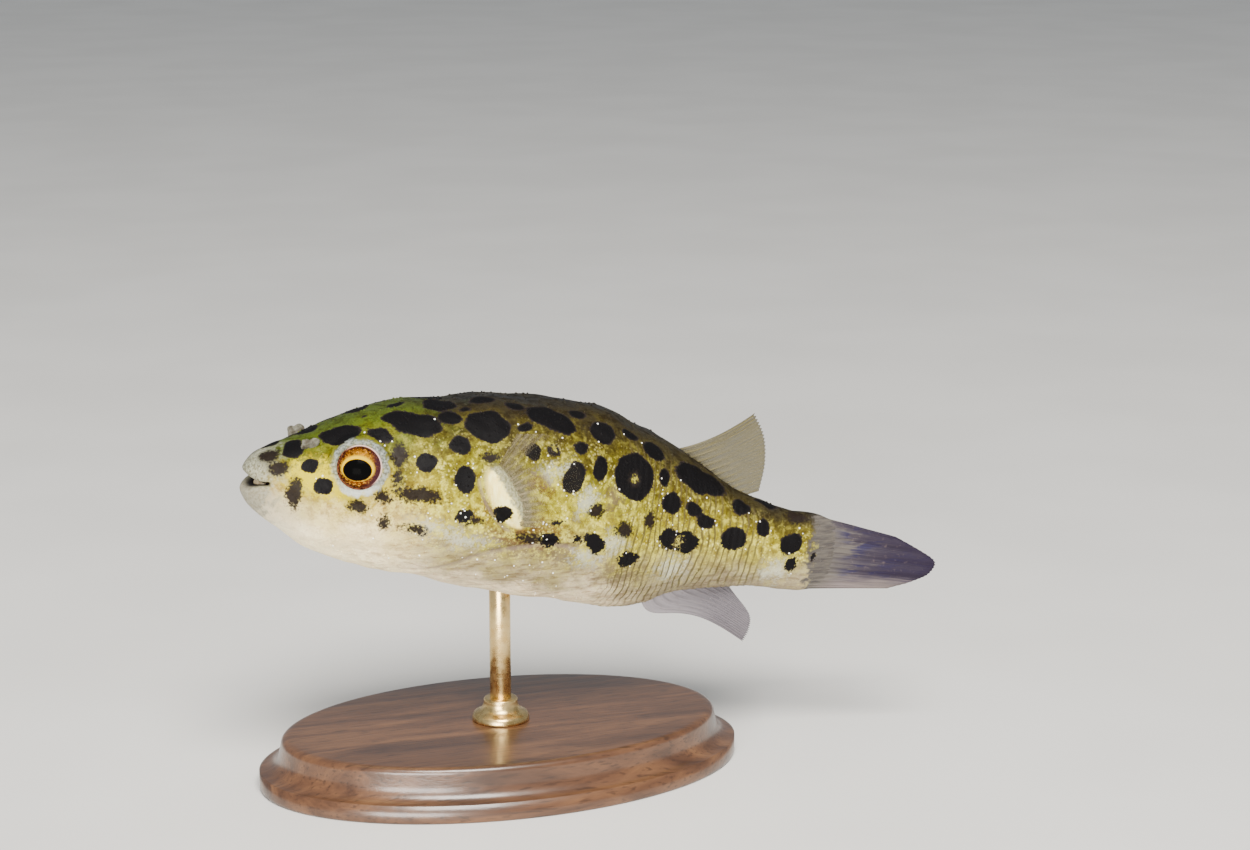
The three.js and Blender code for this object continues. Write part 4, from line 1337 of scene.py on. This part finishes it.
# %% Fin materials
def fin_material(
        name, membrane, ray_colour, root_colour, clear, root_reach=0.25, paint=None,
        faint=0.6, front=0.0, ray_share=0.45, veil=0.0):
    """Mixes membrane and rays, shades them to a fleshy root, and thins the membrane by its alpha."""
    material, tree, shader, place = start_material(name, 0.42, Specular_IOR_Level=0.12)
    fan, out, ray = value_of(tree, "fan"), value_of(tree, "out"), value_of(tree, "ray")
    inputs = {"Fan": fan, "Out": out, "Ray": ray}
    streaks = node(tree, "ShaderNodeGroup", {"node_tree": STREAKS}, inputs)
    streak = streaks.outputs["Streak"]
    colour = mix(tree, times(tree, streak, 0.55), membrane, ray_colour)
    colour = mix(tree, times(tree, ray, 0.7), colour, ray_colour)
    if paint:
        colour = paint(tree, place, colour, fan, out, streak)
    from_root = sums(tree, "MULTIPLY_ADD", fan, front, sums(tree, "MULTIPLY_ADD", streak, 0.12, out))
    root = span(tree, from_root, root_reach + 0.12, 0.03)
    colour = mix(tree, root, colour, root_colour)
    dots = span(tree, noise(tree, place, 0.5, 2, 0.5), 0.6, 0.8, 0.0, 0.35)
    colour = mix(tree, dots, colour, (0.12, 0.09, 0.08))
    tree.links.new(colour, shader.inputs["Base Color"])
    if clear < 1:
        solid = sums(tree, "MULTIPLY_ADD", plus(tree, ray, streak), ray_share, veil)
        solid = sums(tree, "MAXIMUM", solid, root)
        near_root = span(tree, out, 0.12, 0.5, 1.0, faint)
        near_front = span(tree, fan, 0.06, 0.2, 1.0, faint)
        solid = times(tree, solid, sums(tree, "MAXIMUM", near_root, near_front))
        alpha = sums(tree, "ADD", clear, times(tree, solid, 1 - clear), clamp=True)
        tree.links.new(alpha, shader.inputs["Alpha"])
    bump(tree, streaks.outputs["Height"], 0.04, shader)
    return material


# %% Four fin finishes, and the five fins
CLEAR_FIN = fin_material(
    "pectoral_fin_skin", (0.11, 0.09, 0.05), (0.21, 0.175, 0.10), (0.16, 0.13, 0.06),
    clear=0.006, root_reach=0.06, faint=0.02, ray_share=0.3, veil=0.2)
DORSAL_FIN = fin_material(
    "dorsal_fin_skin", (0.045, 0.037, 0.012), (0.13, 0.11, 0.05), (0.05, 0.04, 0.01), clear=0.55)
ANAL_FIN = fin_material(
    "anal_fin_skin", (0.07, 0.06, 0.075), (0.15, 0.133, 0.145), (0.30, 0.275, 0.29),
    clear=0.72, root_reach=0.8, faint=0.5, front=0.7)
TAIL_FIN_SKIN = fin_material(
    "tail_fin_skin", (0.026, 0.021, 0.034), (0.050, 0.042, 0.048), (0.080, 0.071, 0.060),
    clear=1.0, root_reach=0.34, paint=tail_fin_paint)


def add_fin(node_name, material, slot, flank=1, **shape):
    """One fin's sheet, posed, in the place of its solid."""
    points, faces, values = fin_sheet(flank=flank, **shape)
    return make_piece(node_name + "_rayed", pose(points), faces, material, [node_name], values)


add_fin("dorsal_fin", DORSAL_FIN, "clear_fin", **DORSAL)
add_fin("anal_fin", ANAL_FIN, "clear_fin", **ANAL)
add_fin("tail_fin", TAIL_FIN_SKIN, "tail_fin", **TAIL_FIN)
for side, side_name in ((-1, "left"), (1, "right")):
    add_fin("pectoral_fin_" + side_name, CLEAR_FIN, "clear_fin", side,
            root=PECTORAL_ROOT, margin=PECTORAL_MARGIN[side_name], rays=13, thickness=(0.6, 0.14))

# %% [markdown]
# ## Papillae
# The skin of this fish is beset with tiny blunt papillae; on some a white tip is painted as a
# highlight, a glint of light. Fifteen hundred low domes, each of thirty triangles, are scattered by a
# seeded draw over back and flanks and joined into one piece. Each dome takes the skin's own values at
# its root, so it is marked as the skin is there, and its patch in the `OFBake` map lies at its root's
# place on the skin.

# %% Where the papillae stand
PAPILLAE = 1500


def scatter_papillae():
    """Rows and columns of the skin grid, drawn by area over back and flanks, more at spots' edges."""
    draw = np.random.default_rng(77)
    across = np.linalg.norm(np.roll(SKIN, -1, 1) - SKIN, axis=-1)
    forward = np.linalg.norm(np.diff(SKIN, axis=0, append=SKIN[-1:]), axis=-1)
    room = across * forward * between(S, 6, 68, 2) * between(GIRTH, 0.02, 0.78, 0.1)
    room *= (RING < 0.05) * (LOBE < 0.05) * (MOUTH_DEPTH < 0.05)
    near_spot = np.exp(-((np.abs(SKIN_VALUES["spot"]) / 0.5) ** 2))
    room *= 0.6 + 1.2 * near_spot
    chosen = draw.choice(room.size, PAPILLAE, replace=False, p=(room / room.sum()).ravel())
    return np.unravel_index(chosen, room.shape), draw


# %% Papilla domes
PAPILLA_RADIUS = (0.1, 0.16)
PAPILLA_HEIGHT = (0.07, 0.14)
DOME_SIDES = 6
RING_RADIUS = np.array([1.25, 0.9, 0.5])
RING_LIFT = np.array([-0.35, 0.35, 0.85])
RING_POINTS = DOME_SIDES * len(RING_RADIUS)
DOME_POINTS = RING_POINTS + 1


def papilla_domes():
    """Low domes of three rings and a tip, standing on the skin along its normal."""
    (i, j), draw = scatter_papillae()
    root = SKIN[i, j]
    round_body = np.roll(SKIN, -1, 1) - np.roll(SKIN, 1, 1)
    normal = np.cross(np.gradient(SKIN, axis=0)[i, j], round_body[i, j])
    normal /= np.linalg.norm(normal, axis=1, keepdims=True)
    first = np.cross(normal, [0.0, 0.0, 1.0])
    first /= np.linalg.norm(first, axis=1, keepdims=True) + 1e-9
    second = np.cross(normal, first)
    radius = draw.uniform(*PAPILLA_RADIUS, PAPILLAE)[:, None, None]
    tall = draw.uniform(*PAPILLA_HEIGHT, PAPILLAE)[:, None, None]
    turn = np.linspace(0, 2 * np.pi, DOME_SIDES, endpoint=False)[None, None, :]
    share, lift = RING_RADIUS[None, :, None], RING_LIFT[None, :, None]
    ring = share * radius * np.cos(turn), share * radius * np.sin(turn), lift * tall + 0 * turn
    domes = sum(a[..., None] * b[:, None, None, :] for a, b in zip(ring, (first, second, normal)))
    domes = (domes + root[:, None, None, :]).reshape(PAPILLAE, RING_POINTS, 3)
    tips = root + normal * tall[:, 0]
    return np.concatenate([domes, tips[:, None]], 1), (i, j), draw


def papilla_faces():
    """The quads and tip triangles of one dome, repeated for all of them."""
    top_ring = np.arange(DOME_SIDES) + RING_POINTS - DOME_SIDES
    one = grid_faces(len(RING_RADIUS), DOME_SIDES) + cap_faces(top_ring, RING_POINTS, flip=True)
    return [[corner + DOME_POINTS * k for corner in face] for k in range(PAPILLAE) for face in one]


# %% White tips painted as glints, and the papillae as one piece
papilla_points, (row_at, column_at), draw = papilla_domes()
root_girth, root_spot = GIRTH[row_at, column_at], SKIN_VALUES["spot"][row_at, column_at]
# White tips are a painted highlight: glints of light on papillae, more often at spots' edges and along
# the throat crease.
by_crease = 0.3 * between(S[row_at, column_at], 16, 38, 3) * between(root_girth, 0.54, 0.76, 0.06)
at_edge = 0.05 + 0.2 * (np.abs(root_spot) < 0.45)
glint_tip_share = smooth_step(root_girth, 0.08, 0.35) * at_edge + by_crease
glint_tip = draw.uniform(0, 1, PAPILLAE) < glint_tip_share
papilla_values = {
    key: np.repeat(value[row_at, column_at], DOME_POINTS) for key, value in SKIN_VALUES.items()}
glint_tip_strength = np.repeat([0.2, 0.6, 1.0, 1.0], [DOME_SIDES, DOME_SIDES, DOME_SIDES, 1])
papilla_values["tip"] = (glint_tip[:, None] * glint_tip_strength).ravel()
papillae = make_piece(
    "papillae", pose(papilla_points), papilla_faces(), SKIN_FINISH, None, papilla_values)

# %% The papillae's map
PATCH = 0.003
UNWRAP_LENGTH = 80.0
UNWRAP_MARGIN = 0.01


def patch_map(piece):
    """An OFBake map: round the body to the side, along it upwards, a patch per dome at its root."""
    layer = piece.data.uv_layers.new(name="OFBake")
    corner = np.zeros(len(piece.data.loops), np.int32)
    piece.data.loops.foreach_get("vertex_index", corner)
    turn = np.tile(np.linspace(0, 2 * np.pi, DOME_SIDES, endpoint=False), len(RING_RADIUS))
    turn = np.concatenate([turn, [0]])
    out = np.concatenate([np.repeat([1.0, 0.72, 0.4], DOME_SIDES), [0]]) * PATCH / 2
    root = np.stack([COLUMNS[column_at] / (2 * np.pi), S[row_at, column_at] / UNWRAP_LENGTH], -1)
    root = UNWRAP_MARGIN + (1 - 2 * UNWRAP_MARGIN) * root
    place = root[:, None] + np.stack([np.cos(turn) * out, np.sin(turn) * out], -1)
    layer.data.foreach_set("uv", place.reshape(-1, 2)[corner].ravel().astype(np.float32))


patch_map(papillae)

# %% [markdown]
# ## The stand
# A turned walnut plinth, oval, with a stepped and rounded edge, and a polished brass rod in a
# collar that holds the fish under its belly. Each is a profile turned about an upright axis.

# %% Turned pieces
PLINTH_HALF = 29.0
PLINTH_WIDTH_SHARE = 36 / 58
PLINTH_HEIGHT = 6.0


def quarter(start, corner, end, count=10):
    """Points along a curve that leaves start towards corner and reaches end from it."""
    t = np.linspace(0, 1, count)[:, None]
    a, b, c = (np.array(p, float) for p in (start, corner, end))
    return (1 - t) ** 2 * a + 2 * t * (1 - t) * b + t * t * c


def turned(outline, columns, width_share=1.0):
    """An outline of (radius, height) turned about the upright axis; closed by a pole at each end."""
    turn = np.linspace(0, 2 * np.pi, columns, endpoint=False)
    r, z = outline[:, :1], outline[:, 1:]
    points = np.stack([r * np.cos(turn), r * np.sin(turn) * width_share, z + 0 * turn], -1)
    tube, faces = closed_tube(points, flip=True)
    return tube * MM, faces


# %% Walnut and brass
def walnut_material():
    """Bands and dark pores of noise, both drawn out along the plinth as wood grain is."""
    material, tree, shader, place = start_material(
        "walnut", 0.32, Coat_Weight=0.35, Coat_Roughness=0.15)
    along_grain = stretched(tree, place, (0.12, 1.0, 1.0))
    bands = noise(tree, along_grain, 3.0, 5, 0.6, 0.6)
    pores = noise(tree, along_grain, 0.35, 2, 0.5)
    colour = ramp(tree, bands, [
        (0.3, (0.035, 0.015, 0.008)), (0.5, (0.085, 0.038, 0.018)), (0.7, (0.15, 0.07, 0.03))])
    colour = mix(tree, span(tree, pores, 0.55, 0.7, 0.0, 0.6), colour, (0.02, 0.009, 0.005))
    tree.links.new(colour, shader.inputs["Base Color"])
    bump(tree, sums(tree, "MULTIPLY_ADD", pores, -0.5, bands), 0.04, shader)
    return material


def brass_material():
    """Brass whose colour and gloss vary with wear, with fine turned lines round its axis."""
    material, tree, shader, place = start_material("satin_brass", 0.28, Metallic=1.0)
    wear = noise(tree, place, 1.2, 4, 0.6)
    colour = mix(tree, span(tree, wear, 0.3, 0.7), (0.62, 0.42, 0.16), (0.80, 0.60, 0.28))
    tree.links.new(colour, shader.inputs["Base Color"])
    tree.links.new(span(tree, wear, 0.3, 0.7, 0.22, 0.36), shader.inputs["Roughness"])
    turned_lines = noise(tree, stretched(tree, place, (0.02, 0.02, 1.0)), 0.12, 2)
    bump(tree, turned_lines, 0.006, shader)
    return material


# %% Outlines of plinth, collar and rod, as (radius, height)
r, h = PLINTH_HALF, PLINTH_HEIGHT
plinth_outline = np.concatenate([
    [(r - 3, 0)],
    quarter((r - 0.5, 0), (r, 0), (r, 0.5), 6),
    quarter((r, 2.2), (r - 2.2, 2.4), (r - 2.4, 4.2), 16),
    quarter((r - 2.6, h - 0.9), (r - 2.6, h), (r - 4, h), 10),
    [(r - 10, h)],
])
collar_outline = np.concatenate([
    [(0.6, 6.0), (3.1, 6.0)],
    quarter((3.4, 6.05), (3.4, 6.6), (3.1, 6.9), 6),
    quarter((2.7, 7.1), (2.1, 7.3), (2.0, 8.2), 8),
    quarter((2.0, 8.45), (1.95, 8.7), (1.7, 8.7), 5),
])
rod_outline = np.array([(1.0, 3.3), (1.25, 3.5), (1.25, 24.7), (1.0, 25.0)])
WALNUT, BRASS = walnut_material(), brass_material()
for name, outline, columns, share, finish, slot_name in (
    ("stand_plinth", plinth_outline, 160, PLINTH_WIDTH_SHARE, WALNUT, "walnut"),
    ("stand_collar", collar_outline, 64, 1.0, BRASS, "brass"),
    ("stand_rod", rod_outline, 48, 1.0, BRASS, "brass"),
):
    turned_points, turned_faces = turned(outline, columns, share)
    make_piece(name + "_turned", turned_points, turned_faces, finish, [name])

# %% [markdown]
# ## Floor, light and camera
# A pale floor and two soft lights show the shape without hard shadows. The camera stands a little
# above and ahead of the fish, and looks at its left side.

# %% The floor
FLOOR_HALF = 3.0


def pale_floor():
    """One big quad under the stand, nearly white."""
    material, tree, shader, place = start_material("pale_floor", 0.75)
    shade = noise(tree, place, 40.0, 2)
    colour = mix(tree, span(tree, shade, 0.3, 0.7), (0.71, 0.70, 0.68), (0.75, 0.74, 0.72))
    tree.links.new(colour, shader.inputs["Base Color"])
    mesh = bpy.data.meshes.new("floor")
    half = FLOOR_HALF
    corners = [(-half, -half, 0), (half, -half, 0), (half, half, 0), (-half, half, 0)]
    mesh.from_pydata(corners, [], [(0, 1, 2, 3)])
    mesh.materials.append(material)
    floor = bpy.data.objects.new("floor", mesh)
    bpy.context.collection.objects.link(floor)


pale_floor()

# %% The lights
def soft_light(name, place, aim, size, power, colour=(1, 1, 1)):
    """A square area light at a place, turned towards its aim."""
    light = bpy.data.lights.new(name, "AREA")
    light.size = size
    light.energy = power
    light.color = colour
    lamp = bpy.data.objects.new(name, light)
    bpy.context.collection.objects.link(lamp)
    lamp.location = place
    away = Vector(place) - Vector(aim)
    lamp.rotation_euler = away.to_track_quat("Z", "Y").to_euler()


LIGHT_AIM = (0.01, 0, 0.035)
soft_light("key", (-0.08, -0.42, 0.55), LIGHT_AIM, 0.3, 10.5, (1.0, 0.96, 0.89))
soft_light("fill", (-0.36, -0.66, 0.07), LIGHT_AIM, 0.4, 12.8, (1.0, 0.97, 0.92))
world = bpy.data.worlds.new("studio")
world.use_nodes = True
world.node_tree.nodes["Background"].inputs["Color"].default_value = (0.9, 0.95, 1.0, 1)
world.node_tree.nodes["Background"].inputs["Strength"].default_value = 0.4
bpy.context.scene.world = world
print("lights:", len(bpy.data.lights))

# %% The camera
CAMERA_AIM = np.array([15.66, 0, 40.45])
CAMERA_BACK = np.array([-0.3333, -0.9156, 0.2250])
CAMERA_DISTANCE = 345.9
LENS = 84.67
camera_data = bpy.data.cameras.new("camera")
camera_data.lens = LENS
camera_data.sensor_width = 36.0
camera_data.sensor_fit = "HORIZONTAL"
camera_data.clip_start = 0.01
camera = bpy.data.objects.new("camera", camera_data)
bpy.context.collection.objects.link(camera)
camera.location = (CAMERA_AIM + CAMERA_BACK * CAMERA_DISTANCE) * MM
camera.rotation_euler = Vector(CAMERA_BACK).to_track_quat("Z", "Y").to_euler()
bpy.context.scene.camera = camera
print("camera stands at:", [round(value, 3) for value in camera.location])
